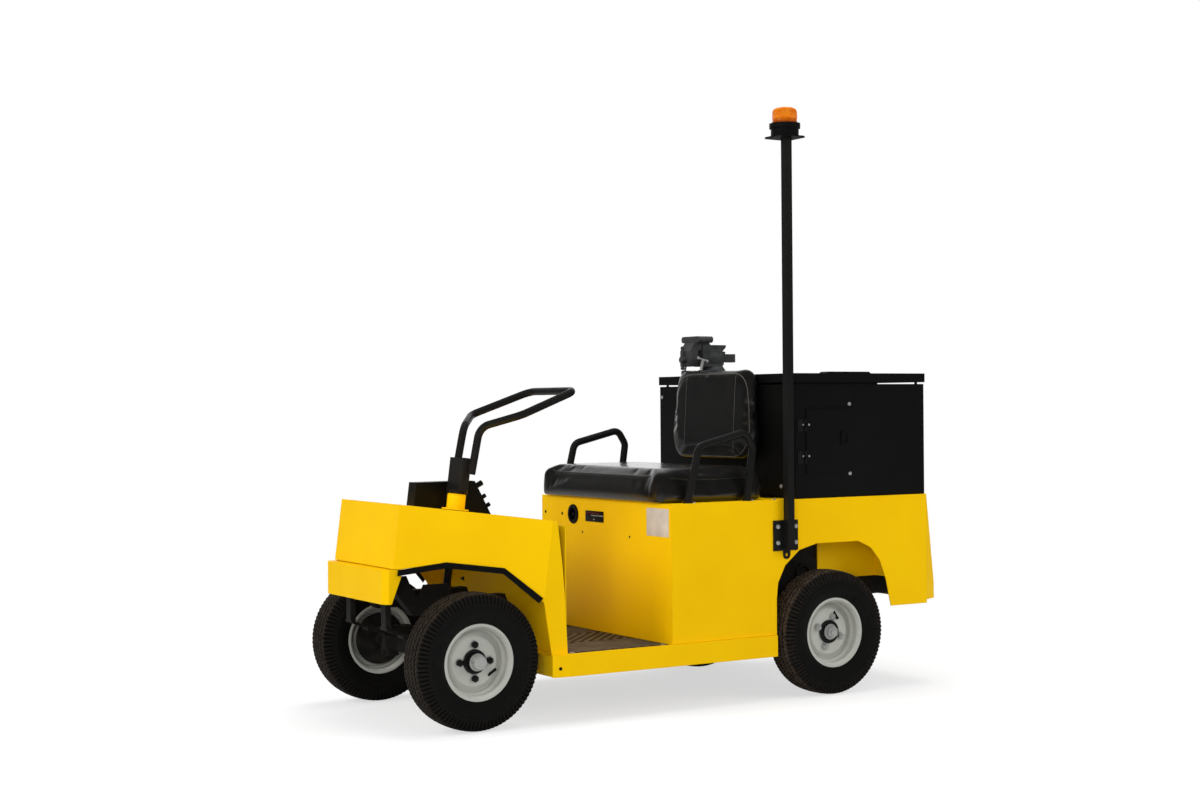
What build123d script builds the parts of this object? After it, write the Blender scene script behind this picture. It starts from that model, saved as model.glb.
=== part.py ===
from build123d import *
from math import atan, cos, degrees, radians, sin, tan
import os

# Burden carrier, in millimetres. While the pieces are drawn, +X is the vehicle's left side, the
# front looks along -Y, Y = 0 is the front axle and Z = 0 the floor. The last section moves the
# origin to the floor under the middle of the vehicle's length.

# Wheels and tracks
wheelbase = 1318.0
tyre_radius = 207.5
tyre_width = 122.0
rim_radius = 116.0
rim_width = 95.0
front_track_half = 347.0
drum_radius = 80.0

# Body: the width and the wheelbase set where most pieces lie
sheet = 3.0
body_half_width = 412.0
body_front_y = wheelbase - 637
body_rear_y = wheelbase + 426
body_top_z = 656.0
body_side_bottom_z = 278.0
rear_foot_y = body_rear_y + 59
rear_track_half = body_half_width - 26
well_inner_x = rear_track_half - tyre_width / 2 - 25
well_front_y = wheelbase - 221
well_wall_y = wheelbase + 35
well_rear_y = wheelbase + 292
well_roof_z = 520.0
arch_top_z = 506.0
receptacle_x = -195.0
receptacle_z = 598.0
receptacle_radius = 31.0

# Side sills and footwell
sill_half_width = body_half_width + 8.5
sill_front_y = 301.0
sill_nose_y = 243.0
sill_nose_in = 9.0
sill_rear_y = wheelbase - 227
sill_top_z = 212.5
sill_bottom_z = 143.5
floor_top_z = sill_top_z - 6.5
mat_thickness = 5.5
toe_board_y = 300.0
toe_board_top_z = 604.0
apron_y = 250.0
pedal_y = toe_board_y + 52
pedal_z = floor_top_z + 56
pedal_lean = 48.0

# Nose cowl, which is a box tipped back by cowl_lean about its top front edge
cowl_lean = 7.5
cowl_front_y = -172.0
cowl_front_z = 677.0
cowl_front_half = 217.0
cowl_rear_half = body_half_width - 10
cowl_length = 428.0
cowl_flange = 16.0
cowl_front_height = 195.0
arch_height = 158.0
arch_start = 145.0
arch_end = 306.0
arch_rear_drop = 237.0
trim_depth = 18.0
trim_reach = 5.0

# Bumper
bumper_front_y = -228.0
bumper_bottom_z = 378.0
bumper_top_z = 481.5
bumper_corner_half = 203.0
bumper_half_width = 221.0
bumper_corner_depth = 16.0
bumper_sheet = 4.0

# Steering
column_foot_y = 124.5
column_foot_z = 640.0
column_radius = 12.5
boss_radius = 29.5
boss_height = 52.0
collar_radius = 34.0
head_width = 98.0
head_depth = 30.0
head_height = 104.0
bar_radius = 12.5
leg_x = 55.0
leg_bend_z = 270.0
grip_half = 172.0
grip_front_y = 110.0
grip_front_z = 320.0
cross_half = 148.0
cross_y = 309.0
cross_z = 423.0
steer_arm = 90.0
kingpin_x = front_track_half - 92
kingpin_radius = 8.0
kingpin_sleeve_radius = 19.0
fork_gap = 64.0
fork_plate = 14.0
spindle_radius = 11.0
rod_pin_radius = 6.0
open_pivot_gap = 1.0
link_z = 172.0
link_drop = 4.0
link_radius = 8.0

# Control box beside the column, in the cowl's own directions
control_x0 = -112.0
control_x1 = -56.5
control_front = 180.0
box_slope_top = (388.0, 103.0)
box_slope_foot = (460.0, 1.0)

# Frame
rail_x = 130.0
rail_width = 40.0
rail_depth = 50.0
rail_low_bottom_z = 145.0
rail_high_bottom_z = 330.0
rail_drop_y = 222.0
rail_drop_run = 65.0
rail_rise_y = wheelbase - 168
rail_rise_run = 55.0
rail_kink = 28.0
horn_front_y = bumper_front_y + 6
horn_rear_y = bumper_front_y + 96
horn_bottom_z = bumper_bottom_z + 24
outrigger_half = body_half_width - 12
side_rail_x = well_inner_x - 38
side_rail_bottom_z = 310.0
side_rail_top_z = 371.0
hanger_ring_y = wheelbase - 33
hanger_ring_z = 400.0
hanger_ring_radius = 31.0
front_axle_depth = 44.0
rear_axle_radius = 30.0
half_shaft_radius = 16.0
gear_case_radius = 88.0
spring_width = 45.0
spring_arc_radius = 471.0
leaf_thickness = 8.0
front_spring_half = 190.0
rear_spring_half = 135.0
motor_radius = 84.0
motor_length = 130.0
battery_top_z = 492.0

# Tow hitch, whose jaw stands clear behind the rear panel so that the pin drops in from above
hitch_z = 230.0
hitch_plate = 10.0
hitch_jaw = 28.0
hitch_pin_radius = 10.0
hitch_pin_y = rear_foot_y + 15
hitch_nose = 22.0
hitch_half = 40.0

# Seat
cushion_half_width = body_half_width - 38
cushion_front_y = body_front_y - 9
cushion_rear_y = cushion_front_y + 413
cushion_bottom_z = body_top_z + 1
cushion_top_z = cushion_bottom_z + 91
back_width = 482.0
back_top_width = 440.0
back_bottom_width = 430.0
back_widest = 90.0
back_height = 306.0
back_bottom_z = 784.0
back_foot_thickness = 62.0
back_lean = 4.2
armrest_x = body_half_width - 22
armrest_front_y = cushion_front_y + 86
armrest_rear_y = armrest_front_y + 234

# Tool box
box_half_width = body_half_width - 7
box_front_y = wheelbase - 136.3
box_rear_y = body_rear_y - 2.2
box_bottom_z = body_top_z + 0.5
box_top_z = 1037.0
box_rim = 22.0
lid_gap = 6.0
lid_top_z = box_top_z + 36.5
lid_overhang = 3.0
lid_lip = 14.0
grip_rise = 5.5
back_rear_y = box_front_y - 8.7
door_front_y = box_front_y + 44.3
door_rear_y = door_front_y + 186
door_bottom_z = 741.0
door_top_z = 956.0
door_sheet = 2.5
hinge_radius = 4.0
door_axis = (box_half_width + 5.0, door_front_y - 6.0)
door_hinges_z = (door_bottom_z + 52, door_top_z - 56)
lid_axis = (-box_half_width - 8.0, box_top_z + lid_gap / 2)
lid_hinges_y = (box_front_y + 120, box_rear_y - 120)
door_hinge_length = 42.0
lid_hinge_length = 60.0

# Mast and beacon
beacon_top_z = 1948.0
mast_size = 25.4
mast_front_y = wheelbase - 196
mast_top_z = beacon_top_z - 98
foot_plate = 100.0
foot_plate_z = 539.0
foot_plate_sheet = 4.0
beacon_x = body_half_width + 9
beacon_plate_half = 53.0
beacon_plate_cut = 14.0
beacon_base_radius = 46.0
beacon_base_height = 28.0
beacon_flange_radius = 51.0
beacon_flange_height = 16.0
lens_radius = 42.0

# Vise, placed by its front edge and the lid's top
vise_x = -200.0
vise_front_y = box_front_y - 38.7
vise_centre = 132.0
vise_foot_radius = 62.0
vise_jaw_half = 56.0
vise_body_half = 32.0
vise_bar_half = 15.0
vise_bar_low = 50.0
vise_bar_high = 80.0
vise_slide_gap = 0.3

running_gap = 0.05
seat_gap = 0.3

hitch_rear_y = hitch_pin_y + hitch_nose
length_middle_y = (bumper_front_y + hitch_rear_y) / 2
lean = radians(cowl_lean)


def block(x0, x1, y0, y1, z0, z1):
    return Pos((x0 + x1) / 2, (y0 + y1) / 2, (z0 + z1) / 2) * Box(x1 - x0, y1 - y0, z1 - z0)


def prism_x(points, x0, x1):
    """Outline in (y, z), carried from x0 to x1."""
    face = Plane.YZ.offset(x0) * make_face(Polyline(*points, close=True))
    return extrude(face, amount=x1 - x0)


def prism_y(points, y0, y1):
    """Outline in (x, z), carried from y0 to y1."""
    face = Plane(origin=(0, y1, 0), x_dir=(1, 0, 0), z_dir=(0, -1, 0)) * make_face(
        Polyline(*points, close=True))
    return extrude(face, amount=y1 - y0)


def prism_z(points, z0, z1):
    """Outline in (x, y), carried from z0 to z1."""
    face = Plane.XY.offset(z0) * make_face(Polyline(*points, close=True))
    return extrude(face, amount=z1 - z0)


def rod(start, end, radius):
    line = Line(start, end)
    return extrude(Plane(origin=start, z_dir=line % 0) * Circle(radius), amount=line.length)


def tube_x(x0, x1, y, z, radius):
    return rod((x0, y, z), (x1, y, z), radius)


def bent_rod(points, radii, radius):
    path = FilletPolyline(*points, radius=radii)
    return sweep(Plane(origin=path @ 0, z_dir=path % 0) * Circle(radius), path=path)


def both_sides(piece):
    return [piece, mirror(piece, about=Plane.YZ)]


def solids_of(*pieces):
    found = []
    for piece in pieces:
        if isinstance(piece, (list, tuple)):
            found += solids_of(*piece)
        else:
            found += list(piece.solids())
    return found


# Cowl frame: its origin is the middle of the cowl's top front edge, +Y runs back along the top
cowl_place = Location((0, cowl_front_y, cowl_front_z), (-cowl_lean, 0, 0))
side_angle = atan((cowl_rear_half - cowl_front_half) / cowl_length)

# The column's arm hangs this far along its axis, below where it passes the cowl's top
column_arm_height = -(column_foot_z - link_z - 14) / cos(lean)


def cowl_half(y):
    """Half width of the cowl at y, measured back along its top."""
    return cowl_front_half + (cowl_rear_half - cowl_front_half) * y / cowl_length


def column_point(height, back=0.0):
    """Point on the column's axis, height above the cowl's top and back from the axis."""
    return (0, column_foot_y + height * sin(lean) + back * cos(lean),
            column_foot_z + height * cos(lean) - back * sin(lean))


def make_front_cowl():
    # Top, front and two tapering sides, each one sheet thick
    rear = cowl_length + cowl_flange
    outer = [(-cowl_front_half, 0), (cowl_front_half, 0), (cowl_rear_half, cowl_length),
             (cowl_rear_half, rear), (-cowl_rear_half, rear), (-cowl_rear_half, cowl_length)]
    top = prism_z(outer, -sheet, 0)
    front = block(-cowl_front_half, cowl_front_half, 0, sheet, -cowl_front_height, 0)
    side_profile = [(0, 0), (cowl_length, 0), (cowl_length, -arch_rear_drop - 14),
                    (arch_end, -arch_height), (arch_start, -arch_height),
                    (20, -cowl_front_height + 1), (0, -cowl_front_height)]
    wall = sheet / cos(side_angle)
    slab = prism_z([(cowl_front_half, 0), (cowl_rear_half, cowl_length),
                    (cowl_rear_half - wall, cowl_length), (cowl_front_half - wall, 0)],
                   -cowl_front_height - 80, 0)
    side = slab & prism_x(side_profile, 0, cowl_rear_half + 10)
    # Rear jamb: the flange that runs down to the sill and closes the footwell's front corner
    jamb = prism_x([(cowl_length, 0), (442, 0), (447, -8), (478, -129), (503, -245),
                    (531, -404), (476, -412), (432, -261), (cowl_length, -251)],
                   cowl_rear_half - wall, cowl_rear_half)
    shell = top + front
    for piece in both_sides(side) + both_sides(jamb):
        shell += piece
    hole = Location(column_point(0), (-cowl_lean, 0, 0)) * Cylinder(column_radius + 3, 60)
    return cowl_place * shell - hole


def make_arch_trims():
    # A strip that follows the arch's edge and stands just off the cowl's side
    path = [(14, -cowl_front_height - 1), (arch_start, -arch_height), (arch_end, -arch_height),
            (cowl_length - 6, -arch_rear_drop)]
    lower = [(y, z - trim_depth) for y, z in reversed(path)]
    lower[0] = (cowl_length - 16, -arch_rear_drop - trim_depth + 2)
    near, far = cowl_half(0) + 0.4, cowl_half(cowl_length) + 0.4
    slab = prism_z([(near, 0), (far, cowl_length), (far + trim_reach, cowl_length),
                    (near + trim_reach, 0)], -cowl_front_height - 80, 0)
    trim = slab & prism_x(path + lower, 0, cowl_rear_half + 20)
    return [cowl_place * piece for piece in both_sides(trim)]


def make_bumper():
    rear_y = cowl_front_y
    front, corner = bumper_front_y, bumper_corner_depth
    half, nose = bumper_half_width, bumper_corner_half
    wall = bumper_sheet
    plan = [(-nose, front), (nose, front), (half, front + corner), (half, rear_y),
            (-half, rear_y), (-half, front + corner)]
    inner = [(-nose + wall / 2, front + wall), (nose - wall / 2, front + wall),
             (half - wall, front + corner + wall / 2), (half - wall, rear_y + 12),
             (-half + wall, rear_y + 12), (-half + wall, front + corner + wall / 2)]
    body = prism_z(plan, bumper_bottom_z, bumper_top_z)
    body -= prism_z(inner, bumper_bottom_z - 1, bumper_top_z - wall)
    # The ends are cut back along the cowl's leaning front
    slant = prism_x([(rear_y - 32, bumper_bottom_z - 2), (rear_y, bumper_top_z - 24),
                     (rear_y, bumper_top_z + 2), (rear_y + 72, bumper_top_z + 2),
                     (rear_y + 72, bumper_bottom_z - 2)], -half - 80, half + 80)
    return body - slant


def make_frame():
    high, low = rail_high_bottom_z, rail_low_bottom_z
    high_top, low_top = high + rail_depth, low + rail_depth
    horn_top = horn_bottom_z + rail_depth
    rail_rear_y = body_rear_y - 6
    # Each rail rises to the bumper in front, drops for the footwell and rises over the rear axle
    rail = prism_x([(horn_front_y, horn_top), (horn_rear_y, horn_top), (horn_rear_y + 57, high_top),
                    (rail_drop_y, high_top), (rail_drop_y + rail_drop_run, low_top),
                    (rail_rise_y - rail_rise_run, low_top), (rail_rise_y, high_top),
                    (rail_rear_y, high_top), (rail_rear_y, high), (rail_rise_y + rail_kink, high),
                    (rail_rise_y + rail_kink - rail_rise_run, low),
                    (rail_drop_y - rail_kink + rail_drop_run, low), (rail_drop_y - rail_kink, high),
                    (horn_rear_y + 34, high), (horn_rear_y - 23, horn_bottom_z),
                    (horn_front_y, horn_bottom_z)],
                   rail_x - rail_width / 2, rail_x + rail_width / 2)
    # Gusset over the front axle, standing on the rail
    gusset_x = rail_x + rail_width / 2
    gusset = prism_x([(horn_rear_y + 48, high_top - 2), (horn_rear_y + 70, high_top + 44),
                      (horn_rear_y + 152, high_top + 44), (horn_rear_y + 172, high_top - 2)],
                     gusset_x - 6, gusset_x)
    return both_sides(rail + gusset)


def make_side_rails():
    # Side rail inboard of the rear wheel, with the wheel well's dark inner plate on it
    side_rail = block(side_rail_x, well_inner_x - 0.7, wheelbase - 73, body_rear_y - 19,
                      side_rail_bottom_z, side_rail_top_z)
    plate = block(well_inner_x - 12, well_inner_x - 9, well_front_y + 3, well_wall_y - 1,
                  side_rail_top_z - 5, body_top_z - 16)
    # Hanger plate with its bushing, seen in front of the rear tyre
    hanger = prism_x([(wheelbase - 198, 300), (wheelbase - 168, 440), (wheelbase - 103, 480),
                      (wheelbase - 28, 480), (wheelbase + 22, 440), (wheelbase + 34, 380),
                      (wheelbase - 18, 300)], well_inner_x - 1, well_inner_x + 4)
    ring = Cylinder(hanger_ring_radius, 14) - Cylinder(hanger_ring_radius - 9, 40)
    ring = Pos(well_inner_x + 7, hanger_ring_y, hanger_ring_z) * (Rot(0, 90, 0) * ring)
    return both_sides(side_rail + plate + hanger + ring)


def make_cross_members(rails):
    """Members welded between the rails and outside them: front y, rear y, bottom z, half, height."""
    high, low = rail_high_bottom_z, rail_low_bottom_z
    members = []
    for y0, y1, z, half, height in (
            (horn_front_y, horn_front_y + 20, horn_bottom_z, bumper_corner_half - 3, rail_depth),
            (toe_board_y + 10, toe_board_y + 50, low, outrigger_half, rail_depth),
            (body_front_y - 1, body_front_y + 39, low, outrigger_half, rail_depth),
            (sill_rear_y - 49, sill_rear_y - 9, low, outrigger_half, rail_depth),
            (wheelbase - 98, wheelbase - 58, high + 5, well_inner_x, rail_depth - 10),
            (body_rear_y - 49, body_rear_y - 9, high, outrigger_half - 4, rail_depth)):
        member = block(-half, half, y0, y1, z, z + height)
        for rail in rails:
            member -= rail
        members.append(member)
    return members


def make_floor_pan():
    top = floor_top_z
    under = top - sheet
    rear_sheet = block(-body_half_width, body_half_width, toe_board_y + sheet, sill_rear_y, under, top)
    # The pan runs on under the toe board and turns down in an apron; the rails pass through notches
    whole = rear_sheet + block(-body_half_width + 1, body_half_width - 1, apron_y,
                               toe_board_y + sheet + 1, under, top)
    whole += block(-body_half_width + 1, body_half_width - 1, apron_y, apron_y + sheet,
                   sill_bottom_z, top)
    notch_half = rail_width / 2 + seat_gap
    for x in (-rail_x, rail_x):
        whole -= block(x - notch_half, x + notch_half, apron_y - 1, toe_board_y + sheet,
                       rail_low_bottom_z + 15, top + 1)
    inner = body_half_width - sheet
    # Sill: a channel with its outer face turned in towards the nose
    outer_nose = sill_half_width - sill_nose_in
    skin = [(sill_half_width, sill_rear_y), (sill_half_width, sill_front_y), (outer_nose, sill_nose_y),
            (outer_nose - sheet, sill_nose_y), (sill_half_width - sheet, sill_front_y + 0.5),
            (sill_half_width - sheet, sill_rear_y)]
    cap = [(inner, sill_rear_y), (sill_half_width, sill_rear_y), (sill_half_width, sill_front_y),
           (outer_nose, sill_nose_y), (cowl_rear_half + 0.6, sill_nose_y),
           (cowl_rear_half + 0.6, sill_front_y + 2), (inner, sill_front_y + 2)]
    sill = prism_z(skin, sill_bottom_z, sill_top_z) + prism_z(cap, sill_top_z - sheet, sill_top_z)
    sill += block(inner, inner + sheet, sill_front_y + 2, sill_rear_y, under, sill_top_z)
    for piece in both_sides(sill):
        whole += piece
    return whole


def make_floor_mat():
    z = floor_top_z
    half = body_half_width - 7
    mat = block(-half, half, toe_board_y + sheet + 4, body_front_y - 4, z, z + mat_thickness)
    return fillet(mat.edges().filter_by(Axis.Z), 12)


def make_toe_board():
    half = body_half_width - 14
    board = block(-half, half, toe_board_y - sheet, toe_board_y, floor_top_z + seat_gap, toe_board_top_z)
    # Small three-cornered lightening hole on the right
    hole = prism_y([(-308, 389), (-274, 399), (-274, 380)], toe_board_y - 10, toe_board_y + 10)
    return board - hole


def make_column_boss():
    axis = Location(column_point(0), (-cowl_lean, 0, 0))
    boss = Cylinder(boss_radius, boss_height, align=(Align.CENTER, Align.CENTER, Align.MIN))
    boss += Cylinder(boss_radius + 14, 5, align=(Align.CENTER, Align.CENTER, Align.MIN))
    boss -= Cylinder(column_radius + running_gap, 4 * boss_height)
    return axis * (Pos(0, 0, 0.2) * boss)


def make_steering_column():
    axis = Location(column_point(0), (-cowl_lean, 0, 0))
    foot = column_arm_height
    shaft = Pos(0, 0, foot) * Cylinder(column_radius, boss_height + 30 - foot,
                                       align=(Align.CENTER, Align.CENTER, Align.MIN))
    collar_z = boss_height + 1
    collar = Pos(0, 0, collar_z) * Cylinder(collar_radius, 12,
                                            align=(Align.CENTER, Align.CENTER, Align.MIN))
    head_z = collar_z + 11
    head_top = head_z + head_height
    head = block(-head_width / 2, head_width / 2, -head_depth / 2, head_depth / 2, head_z, head_top)
    head = fillet(head.edges().filter_by(Axis.Z), 5)
    arm = prism_z([(-16, -16), (16, -16), (11, steer_arm + 12), (-11, steer_arm + 12)], foot, foot + 12)
    arm -= Pos(0, steer_arm, foot) * Cylinder(rod_pin_radius + 2, 60)
    # Loop handle: two legs welded behind the head, which spread and close in a cross bar
    leg_y = head_depth / 2 + 0.5
    half_loop = [(leg_x, leg_y, head_top - 50), (leg_x, leg_y + 11, leg_bend_z),
                 (grip_half, grip_front_y, grip_front_z), (cross_half, cross_y, cross_z)]
    loop = [(-x, y, z) for x, y, z in half_loop] + half_loop[::-1]
    bends = [50, 45, 38]
    bar = bent_rod(loop, bends + bends[::-1], bar_radius)
    return axis * (shaft + collar + head + arm + bar)


def make_control_box():
    side = prism_x([(control_front, 1), (control_front, 76), (box_slope_top[0] - 8, box_slope_top[1]),
                    box_slope_top, box_slope_foot], control_x0, control_x1)
    return cowl_place * side


def make_control_knobs():
    run = box_slope_foot[0] - box_slope_top[0]
    drop = box_slope_top[1] - box_slope_foot[1]
    tilt = degrees(atan(drop / run))
    pieces = []
    # Each: (inset from the box's side, share of the way down the slope, radius, length)
    for inset, share, radius, length in ((11, 0.16, 9, 24), (9, 0.50, 7, 15), (9, 0.76, 7, 15)):
        knob = Cylinder(radius, length, align=(Align.CENTER, Align.CENTER, Align.MIN))
        place = Pos(control_x1 - inset, box_slope_top[0] + share * run, box_slope_top[1] - share * drop)
        pieces.append(cowl_place * (place * (Rot(-tilt, 0, 0) * knob)))
    return pieces


def make_pedals():
    pieces = []
    z0 = floor_top_z + mat_thickness + seat_gap
    for x in (-60, -150):
        pad = Pos(x, pedal_y, pedal_z) * (Rot(-pedal_lean, 0, 0) * Box(62, 84, 8))
        base = block(x - 20, x + 20, pedal_y + 14, pedal_y + 44, z0, z0 + 20)
        arm = rod((x, toe_board_y + seat_gap, pedal_z), (x, pedal_y - 2, pedal_z), 6)
        pieces.append(pad + base + arm)
    return pieces


def make_body_sides():
    y0, y1 = body_front_y, body_rear_y
    foot = sill_top_z + seat_gap
    # Wheel arch from its rear foot to its front foot: (distance behind the axle, z)
    arch = [(264, body_side_bottom_z), (242, 372), (216, 436), (177, 481), (122, arch_top_z),
            (-56, arch_top_z), (-128, 488), (-188, 440), (-218, 384), (-224, 330), (-224, foot)]
    outline = make_face(Polyline((y0, foot), (y0, body_top_z), (y1, body_top_z), (y1, body_side_bottom_z),
                                 *[(wheelbase + y, z) for y, z in arch], close=True))
    panel = extrude(Plane.YZ.offset(body_half_width - sheet) * outline, amount=sheet)
    return both_sides(panel)


def make_seat_box_front():
    inner = body_half_width - sheet
    panel = block(-inner, inner, body_front_y, body_front_y + sheet, floor_top_z, body_top_z - sheet)
    # Charging receptacle: a flanged cup through the panel
    hole = Plane(origin=(receptacle_x, body_front_y, receptacle_z), x_dir=(1, 0, 0), z_dir=(0, -1, 0))
    panel -= extrude(hole * Circle(receptacle_radius - 4), amount=-20)
    flange = extrude(hole * (Circle(receptacle_radius) - Circle(receptacle_radius - 9)), amount=4)
    cup = extrude(hole * Circle(receptacle_radius - 3), amount=-26)
    cup -= extrude(hole * Circle(receptacle_radius - 9), amount=-22)
    return panel + flange + cup


def make_body_deck():
    inner = body_half_width - sheet
    return block(-inner, inner, body_front_y, body_rear_y, body_top_z - sheet, body_top_z)


def make_rear_panel():
    half = body_half_width
    chamfer = 26.0
    foot_y = rear_foot_y - 4
    lower_z = 345.0
    bottom_z = body_side_bottom_z + 12
    upper = Plane.XY.offset(body_top_z) * make_face(Polyline(
        (-half, body_rear_y), (half, body_rear_y), (half - 1, body_rear_y + 1),
        (-half + 1, body_rear_y + 1), close=True))
    lower = Plane.XY.offset(lower_z) * make_face(Polyline(
        (-half, body_rear_y), (half, body_rear_y), (half - chamfer, foot_y),
        (-half + chamfer, foot_y), close=True))
    skin = loft([upper, lower])
    foot = prism_z([(-half, body_rear_y), (half, body_rear_y), (half - chamfer, foot_y),
                    (-half + chamfer, foot_y)], bottom_z, lower_z)
    wall = 4.0
    hollow = prism_x([(body_rear_y - 1, bottom_z - 1), (foot_y - wall, bottom_z - 1),
                      (foot_y - wall, lower_z), (body_rear_y + 0.01, body_top_z - 60),
                      (body_rear_y - 1, body_top_z - 60)], -half + chamfer + 6, half - chamfer - 6)
    # A rolled lip along the foot is the rearmost line of the body
    lip = block(-half + chamfer + 4, half - chamfer - 4, foot_y - 4, rear_foot_y, bottom_z, bottom_z + 14)
    # The sheet turns forward again under the foot
    side = half - chamfer - 4
    flange = block(-side, side, body_rear_y, foot_y - 1, bottom_z, bottom_z + sheet)
    return (skin + foot - hollow) + lip + flange


def make_wheel_housings():
    x = well_inner_x
    outer = body_half_width - sheet - seat_gap
    bottom = side_rail_top_z + 2
    y0, y1 = well_front_y, well_rear_y
    # Inner wall behind the axle, with its lower front corner cut off
    wall = prism_x([(well_wall_y, bottom + 24), (well_wall_y, well_roof_z), (y1, well_roof_z),
                    (y1, bottom), (well_wall_y + 17, bottom)], x - sheet, x)
    roof = block(x - sheet, outer, y0, y1, well_roof_z - sheet, well_roof_z)
    rear = block(x - sheet, outer, y1 - sheet, y1, bottom, well_roof_z)
    front = block(x - sheet, outer - 13, y0 - sheet - 1, y0, floor_top_z + seat_gap, well_roof_z)
    return both_sides(wall + roof + rear + front)


def make_battery_pack():
    half = body_half_width - 32
    return block(-half, half, body_front_y + 28, wheelbase - 244, floor_top_z + seat_gap, battery_top_z)


def make_seat_cushion():
    body = block(-cushion_half_width, cushion_half_width, cushion_front_y, cushion_rear_y,
                 cushion_bottom_z, cushion_top_z)
    body = fillet(body.edges().filter_by(Axis.Z), 34)
    return chamfer(body.faces().sort_by(Axis.Z)[-1].edges(), 14)


def make_backrest():
    half = back_width / 2
    outline = make_face(Polyline((-back_bottom_width / 2, 0), (back_bottom_width / 2, 0),
                                 (half, back_widest), (back_top_width / 2, back_height),
                                 (-back_top_width / 2, back_height), (-half, back_widest), close=True))
    lower = fillet(outline.vertices().group_by(Axis.Y)[0], 58)
    outline = fillet(lower.vertices().group_by(Axis.Y)[-1], 52)
    plane = Plane(origin=(0, back_rear_y, back_bottom_z), x_dir=(1, 0, 0), z_dir=(0, -1, 0))
    pad = extrude(plane * outline, amount=back_foot_thickness)
    # The front face leans back while the rear stays upright
    front_y = back_rear_y - back_foot_thickness
    slope = back_height * tan(radians(back_lean))
    wedge = prism_x([(front_y, back_bottom_z), (front_y + slope, back_bottom_z + back_height),
                     (front_y - 5, back_bottom_z + back_height + 5), (front_y - 5, back_bottom_z)],
                    -half - 1, half + 1)
    pad -= wedge
    return chamfer(pad.faces().sort_by(Axis.Y)[0].edges(), 9)


def make_backrest_bracket():
    pieces = []
    for x in (-back_width / 4, back_width / 4):
        pieces.append(block(x - 18, x + 18, back_rear_y + seat_gap, box_front_y,
                            back_bottom_z + 46, back_bottom_z + 250))
    return pieces


def make_armrests():
    front, rear = armrest_front_y, armrest_rear_y
    foot = body_top_z
    points = [(armrest_x, front, foot), (armrest_x, front + 45, foot + 180),
              (armrest_x, rear - 6, foot + 224), (armrest_x, rear + 25, foot + 174),
              (armrest_x, rear, foot)]
    whole = bent_rod(points, [34, 30, 30], bar_radius)
    for y in (front, rear):
        whole += Pos(armrest_x, y, foot + 2) * Cylinder(15, 4)
    whole &= block(0, armrest_x + 110, front - 160, rear + 200, foot, foot + 400)
    return both_sides(whole)


def make_tool_box():
    half = box_half_width
    front, rear = box_front_y, box_rear_y
    outer = block(-half, half, front, rear, box_bottom_z, box_top_z)
    outer -= block(-half + sheet, half - sheet, front + sheet, rear - sheet,
                   box_bottom_z + sheet, box_top_z + 1)
    outer -= block(half - sheet - 5, half + 5, door_front_y + 14, door_rear_y - 10,
                   door_bottom_z + 10, door_top_z - 10)
    # Inner rim that stiffens the mouth, with four rubber rests under the lid's corners
    rim = block(-half, half, front, rear, box_top_z - sheet, box_top_z)
    rim -= block(-half + box_rim, half - box_rim, front + box_rim, rear - box_rim,
                 box_top_z - 10, box_top_z + 1)
    whole = outer + rim
    for x in (-half + 6, half - 6):
        for y in (front + 30, rear - 30):
            whole += Pos(x, y, box_top_z) * Cylinder(5, lid_gap - seat_gap,
                                                     align=(Align.CENTER, Align.CENTER, Align.MIN))
    # Foot bracket at the front
    whole += block(150, 290, front - 30, front, box_bottom_z, box_bottom_z + 4)
    return whole


def hinge_barrels(length, outer):
    """Hinge of three barrels round one pin along Z: the outer pair with its pin, or the middle one."""
    third = length / 3
    if outer:
        pair = Pos(0, 0, -third) * Cylinder(hinge_radius, third - 0.5)
        pair += Pos(0, 0, third) * Cylinder(hinge_radius, third - 0.5)
        return pair + Cylinder(hinge_radius / 2, length)
    return Cylinder(hinge_radius, third - 0.5) - Cylinder(hinge_radius / 2 + running_gap, length)


def make_hinges():
    half = box_half_width
    x, y = door_axis
    pieces = []
    for z in door_hinges_z:
        leaf = block(half, half + 2, y - 30, y, z - 21, z + 21)
        leaf -= block(half - 1, half + 3, y - 6, y + 1, z - 7.5, z + 7.5)
        pieces.append(Pos(x, y, z) * hinge_barrels(door_hinge_length, True) + leaf)
    x, z = lid_axis
    for y in lid_hinges_y:
        leaf = block(-half - 2, -half, y - 30, y + 30, box_top_z - 36, box_top_z - 1)
        web = block(x - 1, -half, y - 30, y + 30, box_top_z - 3, box_top_z + 1.6)
        web -= block(x - 3, -half - 2, y - 10.5, y + 10.5, box_top_z - 5, box_top_z + 2)
        barrels = Rot(90, 0, 0) * hinge_barrels(lid_hinge_length, True)
        pieces.append(Pos(x, y, z) * barrels + leaf + web)
    return pieces


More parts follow.
